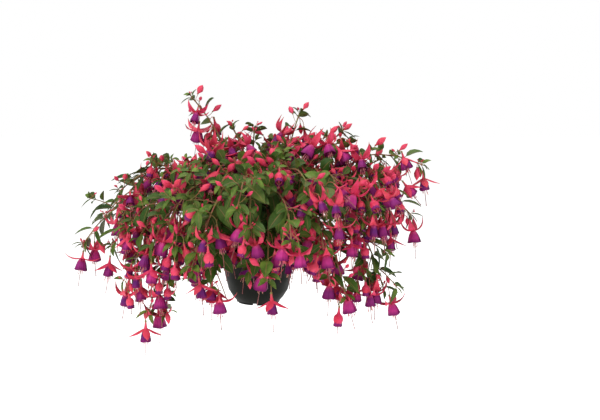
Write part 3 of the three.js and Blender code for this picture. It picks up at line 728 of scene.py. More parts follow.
PEDICEL_DROP = (16, 31)
PEDICEL_REACH = (8, 14)
PEDICEL_RADIUS = 0.65
TUBE_LENGTH = 12
CALYX_RADIUS = 3.8
SEPAL_LENGTH = 30
SEPAL_HALF_WIDTH = 6.6
SEPAL_LIFT = (4, 58)  # degrees above level
YOUNG_LIFT = -28
BURSTING = -60  # a lift below this marks a bloom whose sepals still hold its skirt
COROLLA_LENGTH = 23
COROLLA_MOUTH = 11.8
STYLE_LENGTH = 31


def bloom_at(point, azimuth, share, draw):
    """A bloom on a stalk that leaves its node at an azimuth and bends to hang."""
    out = np.array((np.cos(azimuth), np.sin(azimuth), 0))
    drop = np.interp(share, (0, 1), PEDICEL_DROP)
    reach = np.interp(draw(), (0, 1), PEDICEL_REACH)
    tilt = 0.32 * draw()
    size = 0.9 + 0.16 * draw()
    opened = 0.45 if draw() < 0.2 else 0.8 + 0.2 * draw()
    lift = YOUNG_LIFT if opened < 0.5 else np.interp(draw(), (0, 1), SEPAL_LIFT)
    return {
        "point": point,
        "across": np.cross(UP, out),
        "middle": point + out * reach * 0.75 - UP * drop * 0.3,
        "top": point + out * reach - UP * drop,
        "down": unit(out * tilt - UP),
        "size": size,
        "open": opened,
        "lift": lift,
        "roll": draw() * np.pi,
    }


def bloom_spot(bloom, angle, radius, depth):
    """Points of a bloom, by an angle round it, a radius, and a depth below the top of its tube."""
    angle, radius, depth = np.broadcast_arrays(angle, radius, depth)
    shape = np.shape(bloom["size"]) + (1,) * (angle.ndim - np.ndim(bloom["size"]))
    size, roll = (np.reshape(bloom[key], shape) for key in ("size", "roll"))
    top, down, across = (np.reshape(bloom[key], shape + (3,)) for key in ("top", "down", "across"))
    first = np.cross(across, down)
    turn = angle + roll
    spoke = first * np.cos(turn)[..., None] + across * np.sin(turn)[..., None]
    return top + down * (depth * size)[..., None] + spoke * (radius * size)[..., None]


def sepal_line(lift, share):
    """Radius and depth along a sepal's middle: out from the calyx, rising as it goes, or, on a
    bloom that is only bursting, bowed over the skirt and back in to its hem."""
    rise = np.radians(lift * (0.75 + 0.25 * (share - 0.45) / 0.55) - 8 * (1 - share) / 0.55)
    radius = CALYX_RADIUS + SEPAL_LENGTH * share * np.cos(rise)
    depth = TUBE_LENGTH - SEPAL_LENGTH * share * np.sin(rise)
    bursting = lift < BURSTING
    bowed = CALYX_RADIUS * (1 - 0.45 * share) + 5.2 * np.sin(np.pi * share**0.8)
    return np.where(bursting, bowed, radius), np.where(bursting, TUBE_LENGTH + 25 * share, depth)


def bloom_balls(bloom, whole=True):
    """Balls that fill a bloom: along its stalk, down its middle, and along its sepals, or the
    inner half of them."""
    point, middle, top = bloom["point"], bloom["middle"], bloom["top"]
    spread = 0.5 + 0.5 * bloom["open"]
    deep = TUBE_LENGTH + COROLLA_LENGTH
    balls = [
        (*(point * 0.4 + middle * 0.6), 1.2), (*middle, 1.2),
        (*(middle + top) / 2, 1.2), (*top, 2.2),
    ]
    inside = [
        (TUBE_LENGTH * 0.5, 3), (TUBE_LENGTH, 5), (TUBE_LENGTH + 8, 8.5),
        (TUBE_LENGTH + 16, 11 * spread), (deep - 1, 11.5 * spread),
        (deep + 9, 3), (deep + 17, 2), (deep + 24, 2), (deep + 31, 2),
    ]
    balls += [(*bloom_spot(bloom, 0, 0, depth), radius) for depth, radius in inside]
    calyx = bloom_spot(bloom, 0, 0, TUBE_LENGTH)
    for quarter in range(4):
        angle = (quarter + 0.5) * np.pi / 2
        station, tip = (
            bloom_spot(bloom, angle, *sepal_line(bloom["lift"], share)) for share in (0.45, 1)
        )
        balls += [(*(calyx * 0.45 + station * 0.55), 3), (*station, 3)]
        if whole:
            balls += [(*(station + tip) / 2, 2.5), (*tip, 2)]
    return np.array(balls)


LEAF_LENGTH = 42
LEAF_DROOP = 0.34


def sideways(direction, turn):
    """A side direction at a node, turned about the stem: 0 and 180 degrees level, 90 above."""
    level = np.cross(direction, UP)
    if np.linalg.norm(level) < 0.2:
        level = np.array((1.0, 0, 0)) - direction * direction[0]
    level = unit(level)
    return level * np.cos(turn) + np.cross(level, direction) * np.sin(turn)


def leaf_at(point, direction, turn, size):
    """A leaf from its node: the way it sets out, the way its face looks, and its length."""
    way = unit(sideways(direction, turn) + direction * 0.55 - UP * 0.12)
    outward = unit((point[0], point[1], 0)) * 0.75 + UP * 0.75
    return {"point": point, "way": way, "outward": outward, "length": LEAF_LENGTH * size}


def leaf_frames(leaf, share):
    """Along a leaf: its drooping midrib, and the across and face directions there."""
    point, way, outward = (leaf[key][..., None, :] for key in ("point", "way", "outward"))
    length = np.asarray(leaf["length"])[..., None, None]
    share = np.asarray(share, float)[:, None]
    centre = point + way * length * share - UP * LEAF_DROOP * length * share**2
    forward = unit(way - UP * 2 * LEAF_DROOP * share)
    face = squared_to(outward + 0 * forward, forward)
    return centre, np.cross(face, forward), face


# share of a leaf's length, offset to its side and radius, both as shares of its length too
LEAF_BALLS = np.array([
    (0.1, 0, 0.05), (0.22, 0, 0.09), (0.42, -0.13, 0.12), (0.42, 0.13, 0.12),
    (0.62, -0.1, 0.11), (0.62, 0.1, 0.11), (0.82, 0, 0.1), (1, 0, 0.05),
])


def leaf_balls(leaf):
    """Balls that fill a leaf's outline."""
    share, offset, radius = LEAF_BALLS.T
    centre, across, _ = leaf_frames(leaf, share)
    spots = centre + across * offset[:, None] * leaf["length"]
    return np.column_stack([spots, radius * leaf["length"]])


BUD_LENGTH = (10, 26)
BUD_GIRTH = 0.22
BUD_PEDICEL = (9, 24)
YOUNG_PEDICEL = (4, 10)


def bud_at(point, azimuth, share, upright, draw, young=False):
    """A bud whose stalk leaves its node at an azimuth, then rises or bends to hang."""
    out = np.array((np.cos(azimuth), np.sin(azimuth), 0))
    drop = np.interp(draw(), (0, 1), YOUNG_PEDICEL if young else BUD_PEDICEL)
    middle = point + out * drop * 0.45 + UP * (drop * 0.3 if upright else 0)
    neck = middle + unit(out * 0.45 + UP * (0.5 if upright else -1)) * drop * 0.6
    return {
        "point": point,
        "across": np.cross(UP, out),
        "middle": middle,
        "neck": neck,
        "way": unit(out * 0.35 + UP * (0.25 if upright else -1)),
        "length": BUD_LENGTH[0] + (BUD_LENGTH[1] - BUD_LENGTH[0]) * share,
    }


def bud_balls(bud):
    """Balls that fill a bud and its stalk."""
    neck, way, length = bud["neck"], bud["way"], bud["length"]
    return np.array([
        (*bud["middle"], 1.2),
        (*neck, 1.4),
        (*(neck + way * length * 0.4), length * BUD_GIRTH + 0.6),
        (*(neck + way * length * 0.75), length * BUD_GIRTH * 0.8),
        (*(neck + way * length), 0.8),
    ])


class Room:
    """The room that is taken, as balls: by each stem, and by everything that grows on them."""

    def __init__(self, paths):
        self.stems = [path_balls(path) for path in paths]
        self.taken = np.empty((0, 4))

    def take(self, stem, point, balls, margin, headroom=EAR_RISE + 3):
        """Takes up room if it is clear of the pot, of what is there, and of the stems. A margin
        below zero lets things lap over each other by as much."""
        level = balls[:, 2] - balls[:, 3]
        over_pot = np.hypot(*balls[:, :2].T) < RIM_RADIUS + balls[:, 3] + 2
        if np.any((level < headroom) & over_pot) or clearance(balls, self.taken) < margin:
            return False
        far = np.linalg.norm(balls[:, :3] - point, axis=-1) > 8
        for number, path in enumerate(self.stems):
            if clearance(balls[far] if number == stem else balls, path) < margin:
                return False
        self.taken = np.vstack([self.taken, balls])
        return True


room = Room(stem_paths)


def leaf_nodes(path):
    """The places along the outer part of a stem where things grow, as points and directions."""
    count = max(2, int((path_length(path) - 45 - FIRST_NODE) // INTERNODE))
    return [walk_back(path, FIRST_NODE + INTERNODE * k) for k in range(count)]


def solid_bloom(k, point, _, draw):
    """A bloom of the plain solids at a node."""
    azimuth = 2 * np.pi * draw()
    bloom = bloom_at(point, azimuth, draw(), draw)
    return bloom, bloom_balls(bloom)


def solid_leaf(k, point, direction, draw):
    """A leaf of the plain solids, on either side of a node and crosswise to those of the next."""
    flip = 0 if draw() < 0.5 else 180
    turn = np.radians((k % 2) * 90 + flip + 50 * (draw() - 0.5))
    leaf = leaf_at(point, direction, turn, (0.85 if k else 0.62) + 0.25 * draw())
    return leaf, leaf_balls(leaf)


def solid_bud(k, point, _, draw):
    """A bud of the plain solids at a node, which may stand up at the tip."""
    upright = k == 0 and draw() < 0.4
    azimuth = 2 * np.pi * draw()
    bud = bud_at(point, azimuth, draw(), upright, draw)
    return bud, bud_balls(bud)


def grow_on_stems(grow, orders, column, seed, tries, margin):
    """As many things as a column of STEMS asks for, each at the first node on offer where it finds
    room in a number of tries."""
    grown = []
    for index, stem in enumerate(STEMS):
        draw = draws(seed + index).__next__
        nodes = leaf_nodes(stem_paths[index])
        wanted = stem[column]
        for k in orders[stem[1] > 0]:
            if not wanted:
                break
            for _ in range(tries if k < len(nodes) else 0):
                thing, balls = grow(k, *nodes[k], draw)
                if room.take(index, thing["point"], balls, margin):
                    grown.append(thing)
                    wanted -= 1
                    break
    return grown


# the nodes that are offered, counted back from the tip: on climbing stems, and on arching ones
BLOOM_ORDERS = ((2, 1, 3, 2, 1, 3, 4, 4, 0), (1, 0, 2, 3, 1, 2, 0, 3, 4))
LEAF_ORDERS = ((1, 3, 2, 4, 1, 3, 2, 0, 4, 5, 6),) * 2
BUD_ORDERS = ((0, 0, 1, 2, 1, 3, 2),) * 2

blooms = grow_on_stems(solid_bloom, BLOOM_ORDERS, column=2, seed=2000, tries=14, margin=1)
leaves = grow_on_stems(solid_leaf, LEAF_ORDERS, column=4, seed=3000, tries=8, margin=0.8)
buds = grow_on_stems(solid_bud, BUD_ORDERS, column=3, seed=4000, tries=10, margin=0.8)

# Side shoots that fill out the flowering clusters: the index of the stem that each leaves, how far
# back from that stem's tip, and where its own tip ends.
SPRAYS = [
    # the left cluster, then the one that hangs below it
    (11, 30, (-168, -146, 36)),
    (11, 70, (-216, -112, 58)),
    (12, 30, (-166, -164, 22)),
    (12, 60, (-128, -184, 30)),
    (9, 60, (-216, -98, 44)),
    (8, 130, (-228, -72, 58)),
    (9, 110, (-186, -110, 8)),
    (10, 150, (-206, -136, -8)),
    (10, 120, (-164, -142, -26)),
    (10, 95, (-148, -128, -58)),
    (10, 60, (-232, -104, -46)),
    (10, 26, (-238, -118, -86)),
    # the right cluster
    (23, 20, (190, -138, 92)),
    (23, 70, (138, -160, 58)),
    (23, 60, (176, -128, 66)),
    (25, 60, (198, -116, 82)),
    (25, 100, (176, -118, 40)),
    (3, 50, (192, -88, 118)),
    (26, 120, (212, -92, 112)),
    (26, 90, (236, -70, 84)),
    (20, 40, (122, -176, 84)),
    (21, 60, (140, -150, 16)),
    (24, 70, (176, -128, -32)),
    # along the crown
    (0, 120, (-92, -34, 176)),
    (5, 60, (-70, -58, 176)),
    (5, 90, (-36, -40, 178)),
    (4, 80, (14, -44, 174)),
    (1, 90, (54, -56, 172)),
    (1, 80, (84, -30, 178)),
    (2, 70, (112, -62, 172)),
    (2, 80, (140, -64, 162)),
    (2, 60, (168, -46, 164)),
    (3, 70, (182, -66, 146)),
    (38, 40, (40, 84, 166)),
    (39, 40, (-60, 84, 164)),
    (40, 40, (120, 60, 156)),
]


LEAFY_REACH = 88
LEAFY_LEVELS = (32, 124)
EDGE_RADIUS = 232
EDGE_LEVEL = 188
EDGE_SLOPE = 0.32
LOOSE_HEADROOM = 2  # over the pot's rim, for the soft growth that hangs over it
SHOOT_POINTS = 6
TWIG_DROOP = 0.22
TWIG_MARGIN = 0.3
TWIGLESS = 0.25  # share of the places that stay empty, inside the plant and at its edge
TWIGLESS_EDGE = 0.7
RIM_SHOOTS = 22
RIM_ROOT = 55
SPRAY_SCATTER = 16


def leafy(point):
    """True in the leafy dome between the flowering shoots of the crown and of the skirt."""
    return abs(point[0]) < LEAFY_REACH and LEAFY_LEVELS[0] < point[2] < LEAFY_LEVELS[1]


def outlying(point):
    """True at the plant's thin outer edge, and above its rounded top."""
    radius = np.hypot(*point[:2])
    return radius > EDGE_RADIUS or point[2] > EDGE_LEVEL - EDGE_SLOPE * radius


def twig_path(point, direction, turn, length):
    """A side shoot: a parabola that rises where its node is high and hangs where it is low."""
    rising = 0.55 if point[2] > 90 else -0.25 if point[2] < 40 else 0.15
    way = unit(sideways(direction, turn) + direction * 0.6 + UP * rising)
    t = np.linspace(0, 1, SHOOT_POINTS)[:, None]
    return point + (way * t - UP * TWIG_DROOP * t**2) * length


def grow_twigs():
    """Short side shoots along every stem, fewer of them at the plant's edge."""
    grown = []
    for index, path in enumerate(stem_paths):
        draw = draws(6000 + index).__next__
        for k in range(1, int((path_length(path) - 20) // INTERNODE)):
            for side in (0, 180):
                point, direction = walk_back(path, FIRST_NODE + INTERNODE * (k + 0.08))
                if draw() < (TWIGLESS_EDGE if outlying(point) else TWIGLESS):
                    continue
                for _ in range(5):
                    turn = np.radians((k % 2) * 90 + side + 60 * (draw() - 0.5))
                    twig = twig_path(point, direction, turn, 26 + 34 * draw())
                    if room.take(index, point, path_balls(twig), TWIG_MARGIN):
                        grown.append(("twig", index, twig))
                        break
    return grown


def arc_between(base, top, end):
    """A shoot's quadratic arc from its base to its end, over a top that it passes half way."""
    t = np.linspace(0, 1, SHOOT_POINTS)[:, None]
    return base * (1 - t) ** 2 + 2 * (2 * top - (base + end) / 2) * t * (1 - t) + end * t**2


def grow_sprays():
    """The side shoots of the flowering clusters, each arched a little, where it passes clear."""
    grown = []
    for number, (index, back, end) in enumerate(SPRAYS):
        draw = draws(6600 + number).__next__
        base, _ = walk_back(stem_paths[index], back)
        for _ in range(20):
            tip = np.array(end) + SPRAY_SCATTER * np.array([draw() - 0.5 for _ in range(3)])
            path = arc_between(base, (base + tip) / 2 + UP * (8 + 14 * draw()), tip)
            if room.take(index, base, path_balls(path), -1, LOOSE_HEADROOM):
                grown.append(("spray", index, path))
                break
    return grown


def grow_rim_shoots():
    """Short shoots that rise at the compost's edge and hang over the rim."""
    grown = []
    draw = draws(6500).__next__
    for slot in range(RIM_SHOOTS):
        for _ in range(30):
            turn = 2 * np.pi * (slot + 0.8 * draw()) / RIM_SHOOTS
            out = np.array((np.cos(turn), np.sin(turn), 0))
            base = out * RIM_ROOT + UP * (compost_top(RIM_ROOT) - 3)
            top = out * 74 + UP * (34 + 34 * draw())
            end = out * (94 + 26 * draw()) + UP * (-24 + 44 * draw())
            path = arc_between(base, top, end)
            if room.take(None, base, path_balls(path)[8:], -0.5, LOOSE_HEADROOM):
                grown.append(("rim shoot", None, path))
                break
    return grown


side_shoots = grow_twigs() + grow_sprays() + grow_rim_shoots()
shoots = []
for index, path in enumerate(stem_paths):
    shoots.append(("trailer" if STEMS[index][1] else "climber", index, path))
shoots += side_shoots

BLOOM_MIDDLE = 22  # how far it is below the top of the tube
CROWN_LEVEL = 95  # above this most buds stand up
HELD_LEVEL = 92  # above this blooms are held out over the leaves
WIDER_LIFT = (-46, 72)
BARE_BELOW = -44  # the pot shows below this
BARE_SPAN = (-140, 128)  # and from side to side over this
SKIRT_LEVEL = -74  # only the lowest stems hang further down

# the share of places that stay empty
BARE_TWIGS = 0.56
BARE_EDGE = 0.9
BARE_DOME = 0.88
BUDLESS_PLACES = 0.78
BUDLESS_TWIGS = 0.55
LEAFLESS_EDGE = 0.4

# how far back from a shoot's tip its further blooms and buds grow
BLOOM_PLACES = {
    "trailer": (8, 28, 52, 80, 112, 144),
    "climber": (34, 56, 80),
    "twig": (3, 16),
    "rim shoot": (3, 16),
    "spray": (2, 13, 26, 42),
}
BUD_PLACES = {
    "trailer": (0.5, 2, 4, 14, 24, 38, 56),
    "climber": (0.5, 2, 4, 22, 48),
    "twig": (0.5, 6, 14),
    "rim shoot": (0.5, 6, 14),
    "spray": (0.5, 2, 10, 30),
}
TIP_LEAF_SIZES = (0.46, 0.56, 0.66, 0.76)


def each_shoot(seed):
    """Every shoot's kind, its stem's index, its path and a stream of draws of its own."""
    for number, (kind, index, path) in enumerate(shoots):
        yield kind, index, path, draws(seed + number).__next__


def thin_edge(kind, point):
    """True at the plant's edge, apart from where the flowering shoots stand out of it."""
    return kind not in ("spray", "climber") and outlying(point)


def too_low(index, balls):
    """True in front of the bare pot, and far below the plant for all but the lowest stems."""
    x, y, z, radius = balls.T
    by_pot = (x > BARE_SPAN[0]) & (x < BARE_SPAN[1]) & (y < 0) & (z - radius < BARE_BELOW)
    trailing = index is not None and STEMS[index][0][2] < BARE_BELOW
    return np.any(by_pot) or not trailing and np.min(z - radius) < SKIRT_LEVEL


def hold_up(bloom, draw):
    """Holds a bloom of the crown out above its leaves, on a stalk that rises, and tilts it."""
    out = np.cross(bloom["across"], UP)
    reach = 12 + 12 * draw()
    rise = 14 * draw()
    bloom["middle"] = bloom["point"] + out * reach * 0.5 + UP * (rise + 3)
    bloom["top"] = bloom["point"] + out * reach + UP * rise
    bloom["down"] = unit(out * (0.3 + 0.8 * draw()) - UP)


def age_bloom(bloom, draw):
    """Makes a bloom smaller, and one that is bursting, young or fully open."""
    bloom["size"] = 0.78 + 0.2 * draw()
    age = draw()
    if age < 0.28:
        bloom["open"] = 0.16 + 0.12 * draw()
        bloom["lift"] = BURSTING - 1
        return
    bloom["lift"] = np.interp(draw() ** 0.8, (0, 1), WIDER_LIFT)
    if age < 0.66:
        bloom["open"] = 0.3 + 0.3 * draw()


def more_blooms():
    """Bursting, young and open blooms on stems and side shoots, wherever one finds room."""
    grown = []
    for kind, index, path, draw in each_shoot(7000):
        if kind == "twig" and draw() < BARE_TWIGS:
            continue
        for back in BLOOM_PLACES[kind]:
            point, _ = walk_back(path, back)
            if draw() < BARE_EDGE and thin_edge(kind, point):
                continue
            for _ in range(8):
                azimuth = 2 * np.pi * draw()
                bloom = bloom_at(point, azimuth, 0.7 * draw(), draw)
                if point[2] > HELD_LEVEL:
                    hold_up(bloom, draw)
                if draw() < BARE_DOME and leafy(bloom["top"] - UP * BLOOM_MIDDLE):
                    continue
                age_bloom(bloom, draw)
                balls = bloom_balls(bloom, False)
                if too_low(index, balls[:9]):
                    continue
                if room.take(index, point, balls, -2, LOOSE_HEADROOM):
                    grown.append(bloom)
                    break
    return grown


def more_buds():
    """Tiny upright buds crowded at the tips, and larger ones on longer stalks further back."""
    grown = []
    for kind, index, path, draw in each_shoot(8000):
        for back in BUD_PLACES[kind]:
            point, _ = walk_back(path, back)
            young = back < 5
            bare = not young and (leafy(point) or thin_edge(kind, point))
            if draw() < (BUDLESS_PLACES if bare else BUDLESS_TWIGS if kind == "twig" else 0):
                continue
            for _ in range(4):
                azimuth = 2 * np.pi * draw()
                age = -0.35 + 0.3 * draw() if young else 0.1 + 0.9 * draw()
                rising = 0.9 if young else 0.65 if point[2] > CROWN_LEVEL else 0.3
                bud = bud_at(point, azimuth, age, draw() < rising, draw, young)
                balls = bud_balls(bud)
                if too_low(index, balls):
                    continue
                if room.take(index, point, balls, -0.5, LOOSE_HEADROOM):
                    grown.append(bud)
                    break
    return grown


def more_leaves():
    """A pair of leaves at every node from the tip back to the compost, smaller toward the tip."""
    grown = []
    for kind, index, path, draw in each_shoot(5000):
        step = INTERNODE * (1 if kind in ("trailer", "climber") else 0.6)
        for k, back in enumerate([1, 4, *np.arange(FIRST_NODE, path_length(path) - 8, step)]):
            point, direction = walk_back(path, back)
            for flip in (0, 180):
                if k > 3 and draw() < LEAFLESS_EDGE and outlying(point):
                    continue
                for _ in range(6):
                    turn = np.radians((k % 2) * 90 + flip + 70 * (draw() - 0.5))
                    size = TIP_LEAF_SIZES[k] if k < 4 else 0.78 + 0.24 * draw()
                    leaf = leaf_at(point, direction, turn, size * (0.85 + 0.3 * draw()))
                    leaf["way"] = unit(leaf["way"] + UP * 0.5 * draw())
                    balls = leaf_balls(leaf)
                    if too_low(index, balls):
                        continue
                    if room.take(index, point, balls, -1.6, LOOSE_HEADROOM):
                        grown.append(leaf)
                        break
    return grown


blooms += more_blooms()
buds += more_buds()
leaves += more_leaves()


def gathered(things):
    """Many things' values gathered in arrays, one for each name."""
    return {key: np.array([thing[key] for thing in things]) for key in things[0]}


blooms = gathered(blooms)
buds = gathered(buds)
leaves = gathered(leaves)

TWIG_RADII = np.linspace(1.15, 0.7, SHOOT_POINTS)
twig_lines = np.array([path for *_, path in side_shoots])
twig_sides = np.cross(UP, twig_lines[:, -1] - twig_lines[:, 0])
twig_rings = tube_rings(twig_lines, twig_sides, TWIG_RADII, STEM_SIDES)
twig_share = np.linspace(0.6, 1, SHOOT_POINTS)[:, None]
shoot_tubes = from_rings("side_shoots", twig_rings, stem_material, along=twig_share)
stand_for(shoot_tubes, "leafy_stem", *stem_nodes)

# ---------------------------------------------------------------------------- blooms
# Each open bloom hangs on a thin stalk: a small green ovary, a coral tube that splits in four
# long sepals, and inside them a violet skirt of four petals with stamens and a long style.

THREAD_SIDES = 4
STALK_GREEN = (0.2, 0.19, 0.05)
STALK_RED = (0.42, 0.07, 0.06)

bloom_count = len(blooms["size"])
bloom_tint = np.random.default_rng(21).random(bloom_count)
bloom_youth = np.clip(bloom_tint**2 * 0.8 + 0.6 * (blooms["open"] < 0.5), 0, 1)
spread = 0.5 + 0.5 * blooms["open"]


def swing_path(start, middle, end, stations):
    """A curve through three points at even steps: the parabola that passes the second half way."""
    t = np.linspace(0, 1, stations)[:, None]
    start, middle, end = (points[:, None, :] for points in (start, middle, end))
    pull = 2 * middle - (start + end) / 2
    return start * (1 - t) ** 2 + 2 * pull * t * (1 - t) + end * t**2


stalk_material, tree, shader = new_material("flower_stalk", (0.3, 0.12, 0.08), 0.5)
stalk_colour, _ = mottle(tree, STALK_GREEN, STALK_RED, 90, 3)
tree.links.new(stalk_colour, shader.inputs["Base Color"])
stalk_path = swing_path(blooms["point"], blooms["middle"], blooms["top"], 6)
stalk_rings = tube_rings(stalk_path, blooms["across"], PEDICEL_RADIUS, THREAD_SIDES)
pedicels = from_rings("flower_stalks", stalk_rings, stalk_material)
stand_for(pedicels, "leafy_stem", *stem_nodes)

# radius of the ovary, the tube and the calyx at depths below the top of the tube
TUBE_LINE = [(0.4, -3.8), (1.9, -2.4), (1.9, -0.8), (1.7, 1)]
TUBE_LINE += [(2.1, 6), (2.9, 10), (3.7, TUBE_LENGTH), (0.6, 13.4)]
TUBE_SIDES = 6
TUBE_SQUARENESS = 0.05
PALE_RED = (0.69, 0.055, 0.165)
DEEP_RED = (0.5, 0.015, 0.036)
VEIN_RED = (0.42, 0.004, 0.02)
RED_VEINS = 26
LIT_RED = (0.78, 0.09, 0.125)
OVARY_GREEN = (0.16, 0.2, 0.05)


def tube_shapes():
    """The tube's profile carried round each bloom's axis, less its squareness by a cosine of four
    times the turn."""
    radius, depth = np.array(TUBE_LINE, float).T
    turn = 2 * np.pi * np.arange(TUBE_SIDES) / TUBE_SIDES
    radius = radius[:, None] * (1 - TUBE_SQUARENESS * np.cos(4 * turn))
    shape = (bloom_count, len(TUBE_LINE), TUBE_SIDES)
    rings = [np.broadcast_to(values, shape) for values in (turn, radius, depth[:, None])]
    return bloom_spot(blooms, *rings)


red_material, tree, shader = new_material("coral_calyx", (0.6, 0.02, 0.06), 0.42, 0.18)
reds, _ = mottle(tree, DEEP_RED, PALE_RED, 120, 2.2)
stripe = maths(tree, "SINE", maths(tree, "MULTIPLY", mark(tree, "across"), RED_VEINS))
veined = mix(tree, maths(tree, "MULTIPLY_ADD", stripe, 0.09, 0.12), reds, VEIN_RED)
lit = mix(tree, maths(tree, "MULTIPLY", mark(tree, "tint"), 0.5), veined, LIT_RED)
olive = mix(tree, mark(tree, "green"), lit, OVARY_GREEN)
tree.links.new(olive, shader.inputs["Base Color"])
bump(tree, shader, stripe, 0.25, 0.0003)

tubes = from_rings(
    "flower_tubes",
    tube_shapes(),
    red_material,
    across=np.arange(TUBE_SIDES) / TUBE_SIDES,
    tint=bloom_tint[:, None, None],
    green=np.interp([depth for _, depth in TUBE_LINE], (0, 1.5), (0.85, 0))[:, None],
)
stand_for(tubes, "sepal", *stem_nodes)

# across a sepal: over its face from one edge to the other, and back underneath
SEPAL_ACROSS = np.array((1, 0.4, -0.4, -1, -0.4, 0.4))
SEPAL_UNDER = np.array((0, 0, 0, 0, 1, 1))
SEPAL_STATIONS = np.array((0, 0.13, 0.3, 0.48, 0.66, 0.82, 0.93, 1.0))
SEPAL_THICKNESS = 0.6
SEPAL_CUP = 0.34


def blade_rings(middle, level, face, wide, raised):
    """Rings along a blade: points by their width to its side and their height over its face."""
    across = level[..., None, :] * wide[..., None]
    return middle[..., None, :] + across + face[..., None, :] * raised[..., None]


def sepal_rings(lift):
    """Boat-shaped blades: the half width swells by a sine of the share of the length and closes to
    the tip by a power of it, the edges rise by the square of the way across, and tips hook down."""
    quarter = (np.arange(4)[:, None] + 0.5) * np.pi / 2
    rng = np.random.default_rng(23)
    hooked = rng.uniform(1, 6, (bloom_count, 1, 1)) * np.maximum(0, SEPAL_STATIONS - 0.5) ** 2 / 0.25
    radius, depth = sepal_line(lift[:, None, None], SEPAL_STATIONS)
    radius = radius - 0.9 * np.clip(1 - SEPAL_STATIONS / 0.12, 0, 1)
    depth = depth - np.where(lift[:, None, None] < 0, 0, hooked)
    middle = bloom_spot(blooms, quarter, radius, depth)
    forward = unit(np.gradient(middle, axis=2))
    axis = bloom_spot(blooms, quarter, 0 * radius, 0 * depth)
    spoke = bloom_spot(blooms, quarter, 1 + 0 * radius, 0 * depth) - axis
    level = unit(np.cross(blooms["down"][:, None, None, :], spoke))
    face = np.cross(forward, level)
    swell = 0.5 + 0.64 * np.sin(np.pi * SEPAL_STATIONS**0.85)
    half = SEPAL_HALF_WIDTH * swell * (1 - SEPAL_STATIONS**2.4)
    half = np.maximum(half, 0.12)[:, None]
    size = blooms["size"][:, None, None, None]
    wide = half * SEPAL_ACROSS * size
    raised = (SEPAL_CUP * half * SEPAL_ACROSS**2 - SEPAL_THICKNESS * SEPAL_UNDER) * size
    rings = blade_rings(middle, level, face, wide, raised)
    return rings.reshape(-1, len(SEPAL_STATIONS), len(SEPAL_ACROSS), 3)


sepals = from_rings(
    "sepals",
    sepal_rings(blooms["lift"]),
    red_material,
    across=SEPAL_ACROSS,
    tint=np.repeat(bloom_tint, 4)[:, None, None],
    green=(0.5 * np.clip((SEPAL_STATIONS - 0.86) / 0.14, 0, 1))[:, None],
)
stand_for(sepals, "sepal", *stem_nodes)

PETAL_DOWN = np.array((0, 0.15, 0.38, 0.64, 0.86, 1.0))
PETAL_ROUND = np.linspace(-1, 1, 6)
PETAL_HALF_TURN = np.radians(63)
PETAL_OVERLAP = 0.75
PETAL_THICKNESS = 0.35
SKIRT_WAIST = 2.4
HEM_FLARE = 1.2
SKIRT_ROSE = (0.46, 0.03, 0.2)
SKIRT_VIOLET = (0.11, 0.013, 0.14)
SKIRT_HEM = (0.17, 0.009, 0.1)
# the pale rose at the top of the skirt: partly the petals' own pink base, partly a painted highlight
SKIRT_TOP_PINK_AND_HIGHLIGHT = (0.64, 0.08, 0.24)
SKIRT_VEIN = (0.16, 0.006, 0.12)
SKIRT_RIBS = 19


def petal_rings():
    """Skirt petals: the radius grows from the waist to the mouth by a quarter sine of the way down,
    flares at the hem, and rises from one edge to the other so that each laps over the next."""
    round_way = np.concatenate([PETAL_ROUND, PETAL_ROUND[-2:0:-1]])
    inside = np.repeat((0.0, 1.0), (len(PETAL_ROUND), len(PETAL_ROUND) - 2))
    down = PETAL_DOWN[:, None]
    open_wide = spread[:, None, None, None]
    mouth = COROLLA_MOUTH * open_wide
    bell = SKIRT_WAIST + (mouth - SKIRT_WAIST) * np.sin(np.pi / 2 * down**0.85) ** 0.9
    bell = bell + HEM_FLARE * open_wide * np.clip((down - 0.75) / 0.25, 0, 1) ** 2
    rng = np.random.default_rng(31)
    wave = rng.uniform(-1, 1, (bloom_count, 4, 1, 1))
    quarter = np.arange(4)[:, None, None] * np.pi / 2
    narrow = 0.55 + 0.45 * np.sin(np.pi / 2 * down**0.6)
    angle = quarter + PETAL_HALF_TURN * round_way * narrow
    ripple = 0.35 * down**3 * np.sin(5 * round_way + 3 * wave)
    radius = bell + PETAL_OVERLAP * round_way * down**0.5 + ripple - PETAL_THICKNESS * inside
    hem = 1 - 0.1 * round_way**2 + 0.03 * wave
    depth = TUBE_LENGTH - 0.8 + (COROLLA_LENGTH + 0.8) * down * hem
    rings = bloom_spot(blooms, *np.broadcast_arrays(angle, radius, depth))
    return rings.reshape(-1, len(PETAL_DOWN), len(round_way), 3), round_way


petal_shapes, petal_across = petal_rings()
skirt_material, tree, shader = new_material("violet_skirt", (0.2, 0.02, 0.2), 0.5, 0.14)
down_mark = mark(tree, "along")
fresh = mix(tree, mark(tree, "tint"), SKIRT_ROSE, SKIRT_VIOLET)
hemmed = mix(tree, between(tree, down_mark, 0.6, 1.0), fresh, SKIRT_HEM)
# the top of each petal turns pale rose: the petals' own pink base and a painted highlight
rosy_top_and_highlight = mix(tree, between(tree, down_mark, 0.45, 0.02), hemmed, SKIRT_TOP_PINK_AND_HIGHLIGHT)
ribs = maths(tree, "SINE", maths(tree, "MULTIPLY", mark(tree, "across"), SKIRT_RIBS))
ribbed = mix(tree, maths(tree, "MULTIPLY_ADD", ribs, 0.12, 0.13), rosy_top_and_highlight, SKIRT_VEIN)
cloudy, _ = mottle(tree, ribbed, rosy_top_and_highlight, 190, 2.5)
tree.links.new(cloudy, shader.inputs["Base Color"])
bump(tree, shader, ribs, 0.3, 0.0004)
corollas = from_rings(
    "corollas",
    petal_shapes,
    skirt_material,
    along=PETAL_DOWN[:, None],
    across=petal_across,
    tint=np.repeat(bloom_youth, 4)[:, None, None],
)
stand_for(corollas, "corolla", *stem_nodes)

